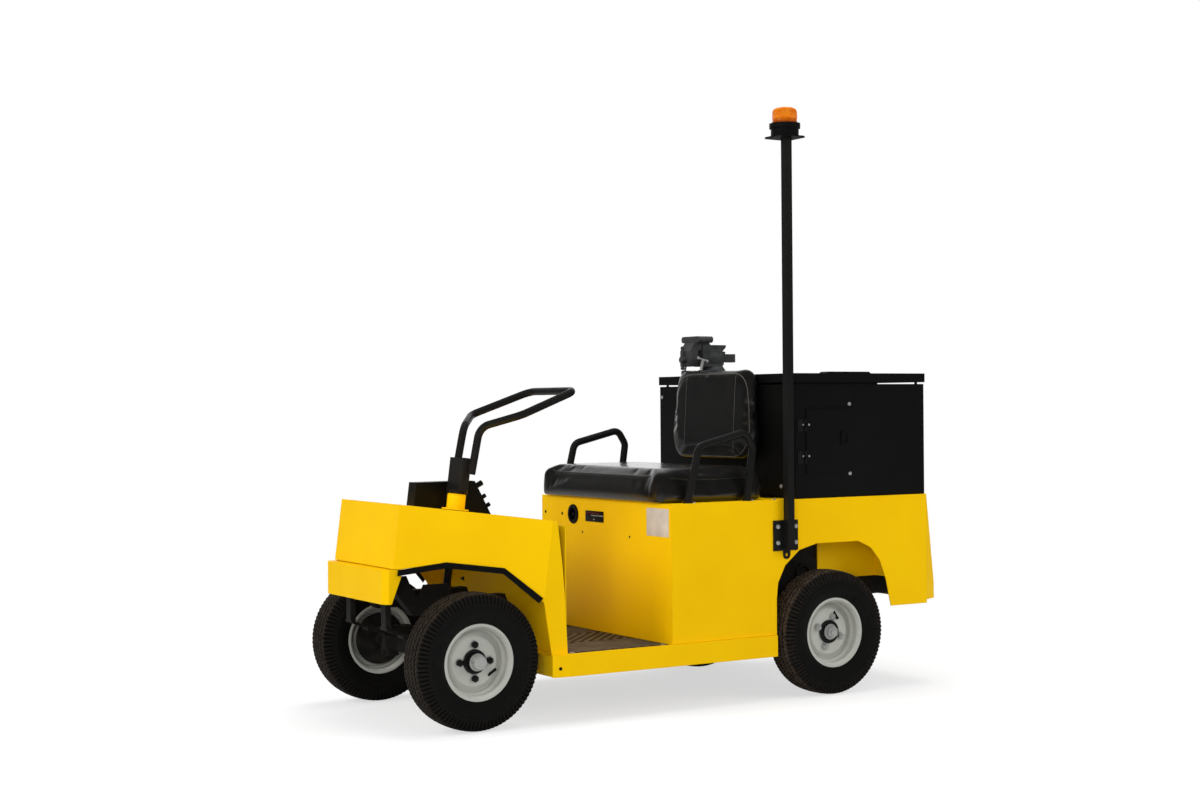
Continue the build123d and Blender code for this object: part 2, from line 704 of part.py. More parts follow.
def make_lid():
    half = box_half_width + lid_overhang
    y0, y1 = box_front_y - lid_overhang, box_rear_y + lid_overhang
    z0, z1 = box_top_z + lid_gap, lid_top_z
    lid = block(-half, half, y0, y1, z0, z1)
    lid -= block(-half + sheet, half - sheet, y0 + sheet, y1 - sheet, z0 + sheet, z1 - sheet)
    lid -= block(-half + lid_lip, half - lid_lip, y0 + lid_lip, y1 - lid_lip, z0 - 1, z0 + sheet + 1)
    # Raised grip plate along the opening edge
    grip = box_front_y + 226
    lid += prism_x([(grip - 96, z1), (grip - 88, z1 + grip_rise), (grip + 88, z1 + grip_rise),
                    (grip + 96, z1)], half - 40, half)
    x, z = lid_axis
    for y in lid_hinges_y:
        leaf = block(-half - 1.5, -half, y - 9, y + 9, z0 + 1, z0 + 24)
        tongue = block(x, -half, y - 9, y + 9, z0, z0 + 2.5)
        tongue -= Pos(x, y, z) * (Rot(90, 0, 0) * Cylinder(hinge_radius - 1, lid_hinge_length))
        barrel = Pos(x, y, z) * (Rot(90, 0, 0) * hinge_barrels(lid_hinge_length, False))
        lid += leaf + tongue + barrel
    return lid


def make_side_door():
    x = box_half_width
    door = block(x + seat_gap, x + seat_gap + door_sheet, door_front_y, door_rear_y,
                 door_bottom_z, door_top_z)
    # Flush latch with a recessed finger pull
    latch_z = (door_bottom_z + door_top_z) / 2 + 6.5
    latch = block(x + 2, x + 7, door_rear_y - 40, door_rear_y - 8, latch_z - 23, latch_z + 23)
    latch -= block(x + 4, x + 8, door_rear_y - 34, door_rear_y - 16, latch_z - 17, latch_z + 17)
    whole = door + latch
    axis_x, axis_y = door_axis
    for z in door_hinges_z:
        leaf = block(axis_x - 3, axis_x - 1, axis_y, axis_y + 30, z - 6, z + 6)
        leaf -= Pos(axis_x, axis_y, z) * Cylinder(hinge_radius - 1, door_hinge_length)
        whole += leaf + Pos(axis_x, axis_y, z) * hinge_barrels(door_hinge_length, False)
    return whole


def make_mast():
    x0 = body_half_width
    x1 = x0 + foot_plate_sheet
    mid = mast_front_y + mast_size / 2
    low, high = foot_plate_z - foot_plate / 2, foot_plate_z + foot_plate / 2
    plate = block(x0, x1, mid - foot_plate / 2 - 4, mid + foot_plate / 2 - 4, low, high)
    tube = block(x1, x1 + mast_size, mast_front_y, mast_front_y + mast_size, low + 3, mast_top_z - 3)
    # Pierced lug under the plate
    eye = Pos((x0 + x1) / 2, mid, low - 14) * Rot(0, 90, 0)
    lug = block(x0, x1, mid - 14, mid + 14, low - 14, low + 4) + eye * Cylinder(14, foot_plate_sheet)
    lug -= eye * Cylinder(6, foot_plate_sheet * 3)
    return plate + tube + lug


def make_beacon_base():
    x, y = beacon_x, mast_front_y + mast_size / 2
    size, cut = beacon_plate_half, beacon_plate_cut
    plate = prism_z([(x - size + cut, y - size), (x + size - cut, y - size), (x + size, y - size + cut),
                     (x + size, y + size - cut), (x + size - cut, y + size), (x - size + cut, y + size),
                     (x - size, y + size - cut), (x - size, y - size + cut)],
                    mast_top_z - 3, mast_top_z + 1)
    base = Pos(x, y, mast_top_z) * Cylinder(beacon_base_radius, beacon_base_height,
                                            align=(Align.CENTER, Align.CENTER, Align.MIN))
    flange = Pos(x, y, mast_top_z + beacon_base_height) * Cylinder(
        beacon_flange_radius, beacon_flange_height, align=(Align.CENTER, Align.CENTER, Align.MIN))
    return plate + base + flange


def make_beacon_lens():
    x, y = beacon_x, mast_front_y + mast_size / 2
    z0 = mast_top_z + beacon_base_height + beacon_flange_height
    profile = Plane.XZ * make_face(Polyline((0, z0), (lens_radius, z0), (lens_radius - 1, beacon_top_z - 12),
                                            (lens_radius - 9, beacon_top_z - 2),
                                            (lens_radius - 22, beacon_top_z), (0, beacon_top_z), close=True))
    return Pos(x, y, 0) * revolve(profile, axis=Axis.Z, revolution_arc=360)


def vise_jaw_bar(y0, y1):
    """Wide top of a jaw, with rounded ends and a narrower root."""
    middle_z = lid_top_z + 130.5
    plane = Plane(origin=(vise_x, vise_front_y + y1, middle_z), x_dir=(1, 0, 0), z_dir=(0, -1, 0))
    outline = fillet(Rectangle(2 * vise_jaw_half, 23).vertices(), 11)
    return extrude(plane * outline, amount=y1 - y0)


def vise_prism(points, half):
    """Side outline of (y, z) from the vise's front edge and the lid's top, half wide each way."""
    placed = [(vise_front_y + y, lid_top_z + z) for y, z in points]
    return prism_x(placed, vise_x - half, vise_x + half)


def make_vise_body():
    z = lid_top_z
    centre = vise_front_y + vise_centre
    foot = Pos(vise_x, centre, z) * Cylinder(vise_foot_radius, 12,
                                             align=(Align.CENTER, Align.CENTER, Align.MIN))
    neck = Pos(vise_x, centre, z + 12) * Cone(vise_foot_radius - 10, vise_body_half + 4, 24,
                                              align=(Align.CENTER, Align.CENTER, Align.MIN))
    # The casting sweeps up from the neck to the fixed jaw and back to an overhanging anvil
    trunk = vise_prism([(72, 34), (68, 84), (66, 119), (96, 119), (101, 111), (104, 92),
                        (166, 88), (158, 40), (150, 34)], vise_body_half)
    anvil = vise_prism([(96, 86), (98, 116), (106, 112), (174, 112), (174, 104), (156, 86)],
                       vise_body_half - 8)
    whole = foot + neck + trunk + anvil + vise_jaw_bar(66, 96)
    slot = vise_bar_half + vise_slide_gap
    return whole - block(vise_x - slot, vise_x + slot, vise_front_y + 50, vise_front_y + 240,
                         z + vise_bar_low - vise_slide_gap, z + vise_bar_high + vise_slide_gap)


def make_vise_jaw():
    z = lid_top_z
    y0 = vise_front_y
    bar = block(vise_x - vise_bar_half, vise_x + vise_bar_half, y0 + 20, y0 + 222,
                z + vise_bar_low, z + vise_bar_high)
    # Head block whose top leans back up to the moving jaw
    head = vise_prism([(12, 34), (12, 90), (32, 119), (62, 119), (60, 96), (46, 90), (44, 34)],
                      vise_body_half)
    screw_z = z + 58
    screw = rod((vise_x, y0 - 8, screw_z), (vise_x, y0 + 14, screw_z), 11)
    handle = rod((vise_x, y0, z + 28), (vise_x, y0, z + 100), 4.5)
    whole = bar + head + vise_jaw_bar(34, 63) + screw + handle
    for end in (z + 28, z + 100):
        whole += Pos(vise_x, y0, end) * Sphere(7)
    return whole


def make_front_axle():
    z = tyre_radius
    reach = kingpin_x - 38
    beam = block(-reach, reach, -20, 20, z - front_axle_depth / 2, z + front_axle_depth / 2)
    for side in (-1, 1):
        x = side * kingpin_x
        near, far = sorted((x, x - side * 44))
        for dz in (-fork_gap / 2 - fork_plate, fork_gap / 2):
            beam += Pos(x, 0, z + dz) * Cylinder(20, fork_plate,
                                                 align=(Align.CENTER, Align.CENTER, Align.MIN))
            beam += block(near, far, -20, 20, z + dz, z + dz + fork_plate)
        near, far = sorted((x - side * 36, x - side * 50))
        beam += block(near, far, -20, 20, z - fork_gap / 2 - fork_plate, z + fork_gap / 2 + fork_plate)
        beam += Pos(x, 0, z) * Cylinder(kingpin_radius, fork_gap + 2)
    return beam


def make_knuckle(side):
    z = tyre_radius
    x = side * kingpin_x
    whole = Pos(x, 0, z) * Cylinder(kingpin_sleeve_radius, fork_gap - 1)
    near, far = sorted((x, side * (front_track_half + 24)))
    whole += tube_x(near, far, 0, z, spindle_radius)
    # Brake backing plate, just inboard of the drum, on its boss
    near, far = sorted((x + side * 14, side * (front_track_half - 36)))
    whole += tube_x(near, far, 0, z, 21)
    near, far = sorted((side * (front_track_half - 40), side * (front_track_half - 36)))
    whole += tube_x(near, far, 0, z, drum_radius + 5)
    # Arm that runs back to the steering link
    whole += prism_z([(x - 11, 8), (x + 11, 8), (x + 10, steer_arm + 12), (x - 10, steer_arm + 12)],
                     link_z + 8, link_z + 20)
    whole -= Pos(x, 0, z) * Cylinder(kingpin_radius + running_gap, 200)
    bore = rod_pin_radius + (running_gap if side > 0 else open_pivot_gap)
    whole -= Pos(x, steer_arm, link_z) * Cylinder(bore, 60)
    return whole


def make_steering_link():
    y = steer_arm
    z = link_z - link_drop
    whole = tube_x(-kingpin_x, kingpin_x, y, z, link_radius)
    for x in (-kingpin_x, kingpin_x):
        whole += Pos(x, y, z) * Cylinder(13, 18)
        whole += Pos(x, y, z) * Cylinder(rod_pin_radius, 26, align=(Align.CENTER, Align.CENTER, Align.MIN))
    # Lug that reaches back to the column's arm
    end_y = column_point(column_arm_height, steer_arm)[1]
    whole += block(-12, 12, y, end_y + 12, z - 12, z - 2)
    whole += Pos(0, end_y, z - 12) * Cylinder(rod_pin_radius - 1, 34,
                                              align=(Align.CENTER, Align.CENTER, Align.MIN))
    return whole


def make_leaf_springs():
    pieces = []
    r = spring_arc_radius
    t = leaf_thickness
    # Each axle: (its y, top of the axle, half length of the longest leaf, z of the front shackle's top)
    for y, axle_top, half, front_top in (
            (0, tyre_radius + front_axle_depth / 2, front_spring_half, horn_bottom_z),
            (wheelbase, tyre_radius + rear_axle_radius, rear_spring_half, rail_high_bottom_z)):
        pad_z = axle_top + 0.2
        eye_z = pad_z + 6 + 3 * t
        spring = Part()
        # Leaves are nested arcs, the longest on top
        for level, share in enumerate((1.0, 0.70, 0.40)):
            inner = r + level * t
            band = Circle(inner + t) - Circle(inner)
            band &= Pos(0, -r) * Rectangle(2 * half * share, r)
            spring += extrude(Plane.YZ.offset(rail_x - spring_width / 2) * band, amount=spring_width)
        spring = Pos(0, y, eye_z + r) * spring
        spring += block(rail_x - 27, rail_x + 27, y - 28, y + 28, pad_z, eye_z + 8)
        hang = r - (r * r - half * half) ** 0.5
        for end, top in ((-1, front_top), (1, rail_high_bottom_z)):
            near, far = sorted((y + end * half, y + end * (half - 18)))
            spring += block(rail_x - 16, rail_x + 16, near, far, eye_z + hang - 8, top)
        pieces += both_sides(spring)
    return pieces


def make_rear_axle():
    z = tyre_radius
    end = rear_track_half - 0.5
    axle = tube_x(-end, end, wheelbase, z, half_shaft_radius)
    axle += tube_x(-well_inner_x + 10, well_inner_x - 10, wheelbase, z, rear_axle_radius)
    axle += tube_x(-62, 62, wheelbase, z, gear_case_radius)
    return axle


def make_drive_motor():
    z = tyre_radius
    front = wheelbase - gear_case_radius - 2
    return rod((0, front, z), (0, front - motor_length, z), motor_radius)


def make_rim(side, x, y):
    half = rim_width / 2
    r = rim_radius
    # Section of the rim about the axle, outer flange at the positive end: (x, radius)
    barrel = [(-half, r), (-half, r - 8), (-half + 8, r - 15), (-half + 26, r - 15), (-half + 34, r - 22),
              (half - 34, r - 22), (half - 26, r - 15), (half - 8, r - 15), (half, r - 8), (half, r),
              (half - 3, r), (half - 3, r - 6), (half - 10, r - 12), (half - 24, r - 12),
              (half - 33, r - 19), (-half + 33, r - 19), (-half + 24, r - 12), (-half + 10, r - 12),
              (-half + 3, r - 6), (-half + 3, r)]
    disc = [(10, 30), (10, 72), (2, 84), (-2, r - 20), (2, r - 20), (6, 86), (14, 74), (14, 30)]
    # Front hubs carry a brake drum and a cap; the rear ones are driven by their shafts
    if y < wheelbase / 2:
        bore = spindle_radius + running_gap
        rings = [barrel, disc,
                 [(-26, bore), (-26, 24), (6, 24), (8, 36), (22, 36), (22, 24), (30, 23), (30, 0),
                  (25, 0), (25, bore)],
                 [(-6, 22), (-6, drum_radius - 6), (-31, drum_radius - 6), (-31, drum_radius),
                  (1, drum_radius), (10.5, 66), (10.5, 22)]]
    else:
        bore = half_shaft_radius + running_gap
        rings = [barrel, disc,
                 [(-24, bore), (-24, 24), (6, 24), (8, 38), (20, 38), (20, 30), (24, 28), (24, 0), (0, 0),
                  (0, bore)]]
    whole = Part()
    for ring in rings:
        face = Plane(origin=(0, 0, 0), x_dir=(0, 0, 1), z_dir=(0, 1, 0)) * make_face(
            Polyline(*ring, close=True))
        whole += revolve(face, axis=Axis.Z, revolution_arc=360)
    whole += Pos(0, 0, 10) * Cylinder(37, 4.2,
                                      align=(Align.CENTER, Align.CENTER, Align.MIN)) - Cylinder(20, 80)
    return Pos(x, y, tyre_radius) * (Rot(0, 90 * side, 0) * whole)


def make_tyre(side, x, y):
    half = tyre_width / 2
    bead = rim_radius - 11.7
    r = tyre_radius
    seat = rim_width / 2 - 3.4
    section = [(-seat, bead + 6), (-seat, bead + 16), (-half, r - 46), (-half + 1, r - 26),
               (-half + 16, r - 6), (-half + 30, r), (half - 30, r), (half - 16, r - 6),
               (half - 1, r - 26), (half, r - 46),
               (seat, bead + 16), (seat, bead + 6), (seat - 8, bead), (seat - 18, bead), (half - 18, r - 40),
               (half - 30, r - 16), (-half + 30, r - 16), (-half + 18, r - 40), (-seat + 18, bead),
               (-seat + 8, bead)]
    face = Plane(origin=(0, 0, 0), x_dir=(0, 0, 1), z_dir=(0, 1, 0)) * make_face(
        Polyline(*section, close=True))
    tyre = revolve(face, axis=Axis.Z, revolution_arc=360)
    return Pos(x, y, tyre_radius) * (Rot(0, 90 * side, 0) * tyre)


def make_tow_hitch():
    z = hitch_z
    front_y = body_rear_y - 47
    # Two plates with a rounded nose round the pin
    nose = Pos(0, hitch_pin_y) * Circle(hitch_nose)
    outline = make_face(Polyline((-hitch_half, front_y), (hitch_half, front_y),
                                 (hitch_half, rear_foot_y - 20), (hitch_nose, hitch_pin_y),
                                 (-hitch_nose, hitch_pin_y), (-hitch_half, rear_foot_y - 20), close=True))
    outline = outline + nose
    plate = extrude(outline, amount=hitch_plate)
    upper = z + hitch_plate + hitch_jaw
    whole = Pos(0, 0, z) * plate + Pos(0, 0, upper) * plate
    whole += block(-hitch_half, hitch_half, front_y, front_y + 36, z, rail_high_bottom_z)
    return whole - Pos(0, hitch_pin_y, z) * Cylinder(hitch_pin_radius, 200)


frame_rails = make_frame()
side_rails = make_side_rails()

nodes = {
    "frame": frame_rails,
    "side_rails": side_rails,
    "cross_members": make_cross_members(frame_rails + side_rails),
    "floor_pan": make_floor_pan(),
    "floor_mat": make_floor_mat(),
    "front_cowl": make_front_cowl(),
    "bumper": make_bumper(),
    "arch_trims": make_arch_trims(),
    "toe_board": make_toe_board(),
    "column_boss": make_column_boss(),
    "control_box": make_control_box(),
    "control_knobs": make_control_knobs(),
    "pedals": make_pedals(),
    "body_sides": make_body_sides(),
    "seat_box_front": make_seat_box_front(),
    "body_deck": make_body_deck(),
    "rear_panel": make_rear_panel(),
    "wheel_housings": make_wheel_housings(),
    "battery_pack": make_battery_pack(),
    "seat_cushion": make_seat_cushion(),
    "backrest": make_backrest(),
    "backrest_bracket": make_backrest_bracket(),
    "armrests": make_armrests(),
    "tool_box": make_tool_box(),
    "hinges": make_hinges(),
    "tool_box_lid": make_lid(),
    "side_door": make_side_door(),
    "mast": make_mast(),
    "beacon_base": make_beacon_base(),
    "beacon_lens": make_beacon_lens(),
    "vise_body": make_vise_body(),
    "vise_jaw": make_vise_jaw(),
    "front_axle": make_front_axle(),
    "leaf_springs": make_leaf_springs(),
    "steering_column": make_steering_column(),
    "steering_link": make_steering_link(),
    "rear_axle": make_rear_axle(),
    "drive_motor": make_drive_motor(),
    "tow_hitch": make_tow_hitch(),
}

# Each corner: (name, side, track half, axle y)
for corner, side, track, axle_y in (("front_left", 1, front_track_half, 0),
                                    ("front_right", -1, front_track_half, 0),
                                    ("rear_left", 1, rear_track_half, wheelbase),
                                    ("rear_right", -1, rear_track_half, wheelbase)):
    nodes["wheel_" + corner] = make_rim(side, side * track, axle_y)
    nodes["tyre_" + corner] = make_tyre(side, side * track, axle_y)
    if axle_y == 0:
        nodes["knuckle_" + corner.split("_")[1]] = make_knuckle(side)

os.makedirs("parts", exist_ok=True)
to_middle = Location((0, -length_middle_y, 0))
for name, piece in nodes.items():
    solids = [to_middle * solid for solid in solids_of(piece)]
    shape = solids[0] if len(solids) == 1 else Compound(children=solids)
    export_step(shape, f"parts/{name}.step")
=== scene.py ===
# %% [markdown]
# A burden carrier is mostly folded sheet steel, so its looks come from clean folds, a satin coat of
# paint, and the few things that are not sheet: tyres, a vinyl seat, a cast vise and an amber lamp.
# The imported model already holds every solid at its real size. This lesson dresses it.

# %% Load the frame
import math
import bmesh
import bpy
from mathutils import Matrix, Vector
from mathutils.bvhtree import BVHTree


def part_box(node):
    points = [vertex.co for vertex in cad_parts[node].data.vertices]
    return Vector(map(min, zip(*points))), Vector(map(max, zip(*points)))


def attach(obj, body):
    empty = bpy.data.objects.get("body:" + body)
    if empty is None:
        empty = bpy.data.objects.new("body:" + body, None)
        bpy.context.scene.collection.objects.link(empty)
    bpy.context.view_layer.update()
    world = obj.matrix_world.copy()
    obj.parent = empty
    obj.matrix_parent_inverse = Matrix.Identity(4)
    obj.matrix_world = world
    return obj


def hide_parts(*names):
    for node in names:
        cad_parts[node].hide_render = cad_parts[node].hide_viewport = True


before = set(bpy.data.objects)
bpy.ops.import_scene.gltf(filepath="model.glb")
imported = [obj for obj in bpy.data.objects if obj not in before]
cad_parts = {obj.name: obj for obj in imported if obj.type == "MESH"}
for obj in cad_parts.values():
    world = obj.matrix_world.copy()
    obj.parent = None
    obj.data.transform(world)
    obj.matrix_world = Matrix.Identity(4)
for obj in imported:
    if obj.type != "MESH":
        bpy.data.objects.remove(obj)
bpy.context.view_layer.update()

MM = 0.001

# %% [markdown]
# The camera comes first, because every later choice is judged through it. It stands to the left of
# the nose, at chest height, and looks almost level with a lens of about 55 mm. The numbers are real
# places in metres: a camera is a thing in the room like any other.

# %% Camera
camera_place = Vector((5.2306, -3.3535, 0.9758))
camera_turn = math.radians(58.39)
camera_pitch = math.radians(-0.156)
camera_roll = math.radians(-0.427)
lens_over_width = 1830.4 / 1200

back = Vector((math.sin(camera_turn) * math.cos(camera_pitch),
               -math.cos(camera_turn) * math.cos(camera_pitch), math.sin(camera_pitch)))
right = Vector((math.cos(camera_turn), math.sin(camera_turn), 0))
up = back.cross(right)
right, up = (right * math.cos(camera_roll) + up * math.sin(camera_roll),
             up * math.cos(camera_roll) - right * math.sin(camera_roll))

camera = bpy.data.objects.new("camera", bpy.data.cameras.new("camera"))
bpy.context.collection.objects.link(camera)
camera.data.sensor_width = 36
camera.data.lens = 36 * lens_over_width
camera.matrix_world = Matrix.Translation(camera_place) @ Matrix((right, up, back)).transposed().to_4x4()
bpy.context.scene.camera = camera
print("lens", round(camera.data.lens, 1), "mm")

# %% [markdown]
# Colours are written as sRGB hex, the way a paint card or a photo gives them, and one function turns
# them to the linear values that shaders want. A second small function adds a shader node with its
# settings and links, so each material below reads as a short recipe.


# %% Colour and node helpers
def colour(code):
    """Linear RGBA from an sRGB hex code."""
    parts = [int(code[i:i + 2], 16) / 255 for i in (1, 3, 5)]
    linear = [p / 12.92 if p <= 0.04045 else ((p + 0.055) / 1.055) ** 2.4 for p in parts]
    return (*linear, 1)


def add(tree, kind, settings=None, links=None):
    """Adds one shader node; settings and links go by attribute, socket name or socket number."""
    node = tree.nodes.new("ShaderNode" + kind)
    for key, value in (settings or {}).items():
        if isinstance(key, str) and hasattr(node, key):
            setattr(node, key, value)
        else:
            node.inputs[key].default_value = value
    for key, source in (links or {}).items():
        tree.links.new(source, node.inputs[key])
    return node


def new_finish(name):
    """An empty material with its tree, its Principled shader and the object's own coordinates."""
    material = bpy.data.materials.new(name)
    material.use_nodes = True
    tree = material.node_tree
    shader = tree.nodes["Principled BSDF"]
    place = add(tree, "TexCoord").outputs["Object"]
    return material, tree, shader, place


def noise_of(tree, place, size_mm, detail=2.0, rough=0.5):
    """Noise whose blobs are size_mm across."""
    settings = {"Scale": 1 / (size_mm * MM), "Detail": detail, "Roughness": rough}
    return add(tree, "TexNoise", settings, {"Vector": place}).outputs["Fac"]


def span(tree, value, low, high, from_low=0.3, from_high=0.7):
    """Maps a pattern's value on to low to high."""
    settings = {"From Min": from_low, "From Max": from_high, "To Min": low, "To Max": high}
    return add(tree, "MapRange", settings, {"Value": value}).outputs["Result"]


def blend_colours(tree, factor, first, second):
    """First colour where factor is 0, second where it is 1."""
    settings = {"data_type": "RGBA", 6: colour(first), 7: colour(second)}
    return add(tree, "Mix", settings, {0: factor}).outputs[2]


def bump(tree, height, depth_mm, strength=1.0, under=None):
    """Normal from a height pattern that is depth_mm deep."""
    links = {"Height": height}
    if under:
        links["Normal"] = under
    settings = {"Distance": depth_mm * MM, "Strength": strength}
    return add(tree, "Bump", settings, links).outputs["Normal"]


# %% [markdown]
# Powder coat is sprayed dry and baked, so it flows into a skin with a faint orange peel, a few
# millimetres from crest to crest. That, and slow drifts in gloss where hands and rags have been, is
# all that separates real painted sheet from a flat colour. The peel is too fine to show from the
# camera, so it is drawn at about twice its real size.


# %% Painted steel
def powder_coat(name, deep, light, rough, peel_mm=4.0, peel_depth=0.02, coat=0.0, dust=None, mirror=0.2):
    """Baked powder coat between two near colours, with orange peel, drifting gloss and soft edges."""
    material, tree, shader, place = new_finish(name)
    drift = noise_of(tree, place, 260, 3)
    tone = blend_colours(tree, span(tree, drift, 0, 1), deep, light)
    if dust:
        low = add(tree, "SeparateXYZ", links={0: place}).outputs["Z"]
        near_floor = span(tree, low, 0.55, 0.0, 0.1, 0.5)
        speck = add(tree, "Math", {"operation": "MULTIPLY"},
                    {0: near_floor, 1: span(tree, noise_of(tree, place, 30, 6), 0, 1, 0.4, 0.75)})
        tone = add(tree, "Mix", {"data_type": "RGBA", 7: colour(dust)},
                   {0: speck.outputs[0], 6: tone}).outputs[2]
    tree.links.new(tone, shader.inputs["Base Color"])
    smear = noise_of(tree, place, 55, 4)
    tree.links.new(span(tree, smear, rough - 0.05, rough + 0.07), shader.inputs["Roughness"])
    shader.inputs["Specular IOR Level"].default_value = mirror
    shader.inputs["Coat Weight"].default_value = coat
    shader.inputs["Coat Roughness"].default_value = 0.25
    folded = add(tree, "Bevel", {"samples": 4, "Radius": 2.2 * MM}).outputs["Normal"]
    tree.links.new(bump(tree, noise_of(tree, place, peel_mm), peel_depth, under=folded),
                   shader.inputs["Normal"])
    return material


yellow_coat = powder_coat("safety_yellow_powder_coat", "#EDBA00", "#F2C200", 0.36, mirror=0.08)
black_coat = powder_coat("satin_black_powder_coat", "#151515", "#1C1B1A", 0.36)
box_coat = powder_coat("black_box_powder_coat", "#080808", "#0C0C0C", 0.44, peel_mm=3, peel_depth=0.03)
chassis_coat = powder_coat("black_chassis_enamel", "#131313", "#1B1A19", 0.52, dust="#3A342C")
rim_coat = powder_coat("pale_grey_rim_enamel", "#AFB0A8", "#BCBDB5", 0.30, coat=0.15, mirror=0.5)
motor_coat = powder_coat("dark_grey_motor_paint", "#26272A", "#303134", 0.5, dust="#3A342C")
print("painted finishes", [m.name for m in bpy.data.materials])

# %% [markdown]
# Rubber, vinyl and moulded plastic are all black here, and only their surface tells them apart.
# Tyre rubber is matt, with a warm bloom of dust on the ribs that meet the road; seat vinyl is
# embossed with a leather grain and shines in soft patches; moulded plastic is finely sparked.


# %% Rubber, vinyl and plastic
def tyre_rubber():
    """Black rubber, matt, with brown dust where the attribute dusty says that the tread is worn."""
    material, tree, shader, place = new_finish("tyre_rubber")
    worn = add(tree, "Attribute", {"attribute_name": "dusty"}).outputs["Fac"]
    mottled = add(tree, "Math", {"operation": "MULTIPLY"},
                  {0: worn, 1: span(tree, noise_of(tree, place, 12, 5), 0.2, 1.0)}).outputs[0]
    tone = blend_colours(tree, mottled, "#0F0F0E", "#574A3F")
    tree.links.new(tone, shader.inputs["Base Color"])
    tree.links.new(span(tree, noise_of(tree, place, 20, 4), 0.58, 0.75), shader.inputs["Roughness"])
    shader.inputs["Specular IOR Level"].default_value = 0.16
    tree.links.new(bump(tree, noise_of(tree, place, 1.6), 0.06), shader.inputs["Normal"])
    return material


def seat_vinyl():
    """Embossed vinyl: pebbled leather grain of 2 mm cells over slow creases."""
    material, tree, shader, place = new_finish("black_seat_vinyl")
    grain = add(tree, "TexVoronoi", {"feature": "DISTANCE_TO_EDGE", "Scale": 1 / (2.2 * MM)},
                {"Vector": place}).outputs["Distance"]
    grain = span(tree, grain, 0, 1, 0, 0.25)
    creases = noise_of(tree, place, 45, 5, 0.6)
    tree.links.new(blend_colours(tree, span(tree, creases, 0, 1), "#0D0C0C", "#141312"),
                   shader.inputs["Base Color"])
    tree.links.new(span(tree, creases, 0.30, 0.42), shader.inputs["Roughness"])
    shader.inputs["Specular IOR Level"].default_value = 0.4
    shader.inputs["Coat Weight"].default_value = 0.8
    shader.inputs["Coat Roughness"].default_value = 0.16
    soft = bump(tree, creases, 0.9, 0.4)
    tree.links.new(bump(tree, grain, 0.08, 0.6, soft), shader.inputs["Normal"])
    return material


def moulded_plastic(name, code, rough=0.5, spark_mm=1.2):
    """Moulded plastic with a spark-eroded texture."""
    material, tree, shader, place = new_finish(name)
    slow = span(tree, noise_of(tree, place, 80), 0, 1)
    deeper = "#%02X%02X%02X" % tuple(int(int(code[i:i + 2], 16) * 0.8) for i in (1, 3, 5))
    tree.links.new(blend_colours(tree, slow, deeper, code), shader.inputs["Base Color"])
    tree.links.new(span(tree, noise_of(tree, place, 25), rough - 0.06, rough + 0.06),
                   shader.inputs["Roughness"])
    shader.inputs["Specular IOR Level"].default_value = 0.2
    tree.links.new(bump(tree, noise_of(tree, place, spark_mm), 0.04), shader.inputs["Normal"])
    return material


tyre_finish = tyre_rubber()
vinyl_finish = seat_vinyl()
black_plastic = moulded_plastic("black_moulded_plastic", "#101010")
mat_rubber = moulded_plastic("ribbed_mat_rubber", "#0E0D0C", 0.66, 2.0)
# The ribs are pale brownish grey: partly worn rubber, partly a painted highlight on their tops and edges
rib_rubber_worn_and_highlit = moulded_plastic("mat_ribs_worn_with_painted_highlight", "#5C5245", 0.55, 3.0)
# Pale grey vinyl for the backrest welt and seams: a painted highlight along their rounded edges
welt_vinyl_painted_highlight = moulded_plastic("welt_piping_painted_highlight", "#55524E", 0.36, 1.5)
trim_plastic = moulded_plastic("black_arch_trim", "#080808", 0.45)
label_plastic = moulded_plastic("blank_pale_label", "#D9CDBF", 0.45)
battery_plastic = moulded_plastic("battery_case_plastic", "#2B2B2D", 0.5)
print("soft finishes ready")

# %% [markdown]
# Bare metal is bright plated steel on the bolts and dust caps, and grey enamel over rough iron on the
# vise: sand-cast iron keeps a pebbled skin under its paint.
# The beacon's lens is amber polycarbonate, drawn darker towards its foot, with a faint painted glow.


# %% Metal and lens
def plated_steel(name, code, rough):
    """Zinc or chrome plated steel, with fine scratches."""
    material, tree, shader, place = new_finish(name)
    shader.inputs["Metallic"].default_value = 0.55
    scratch = noise_of(tree, place, 6, 6, 0.7)
    dull = "#%02X%02X%02X" % tuple(int(int(code[i:i + 2], 16) * 0.86) for i in (1, 3, 5))
    tree.links.new(blend_colours(tree, span(tree, scratch, 0, 1), code, dull),
                   shader.inputs["Base Color"])
    tree.links.new(span(tree, scratch, rough - 0.05, rough + 0.1), shader.inputs["Roughness"])
    return material


def cast_enamel():
    """Dark grey enamel over sand-cast iron."""
    material, tree, shader, place = new_finish("grey_enamel_on_cast_iron")
    sand = noise_of(tree, place, 3.5, 4, 0.6)
    patch = noise_of(tree, place, 60, 4)
    tree.links.new(blend_colours(tree, span(tree, patch, 0, 1), "#2F3031", "#4A4B4B"),
                   shader.inputs["Base Color"])
    tree.links.new(span(tree, patch, 0.42, 0.58), shader.inputs["Roughness"])
    shader.inputs["Metallic"].default_value = 0.25
    tree.links.new(bump(tree, sand, 0.6, 1.0), shader.inputs["Normal"])
    return material


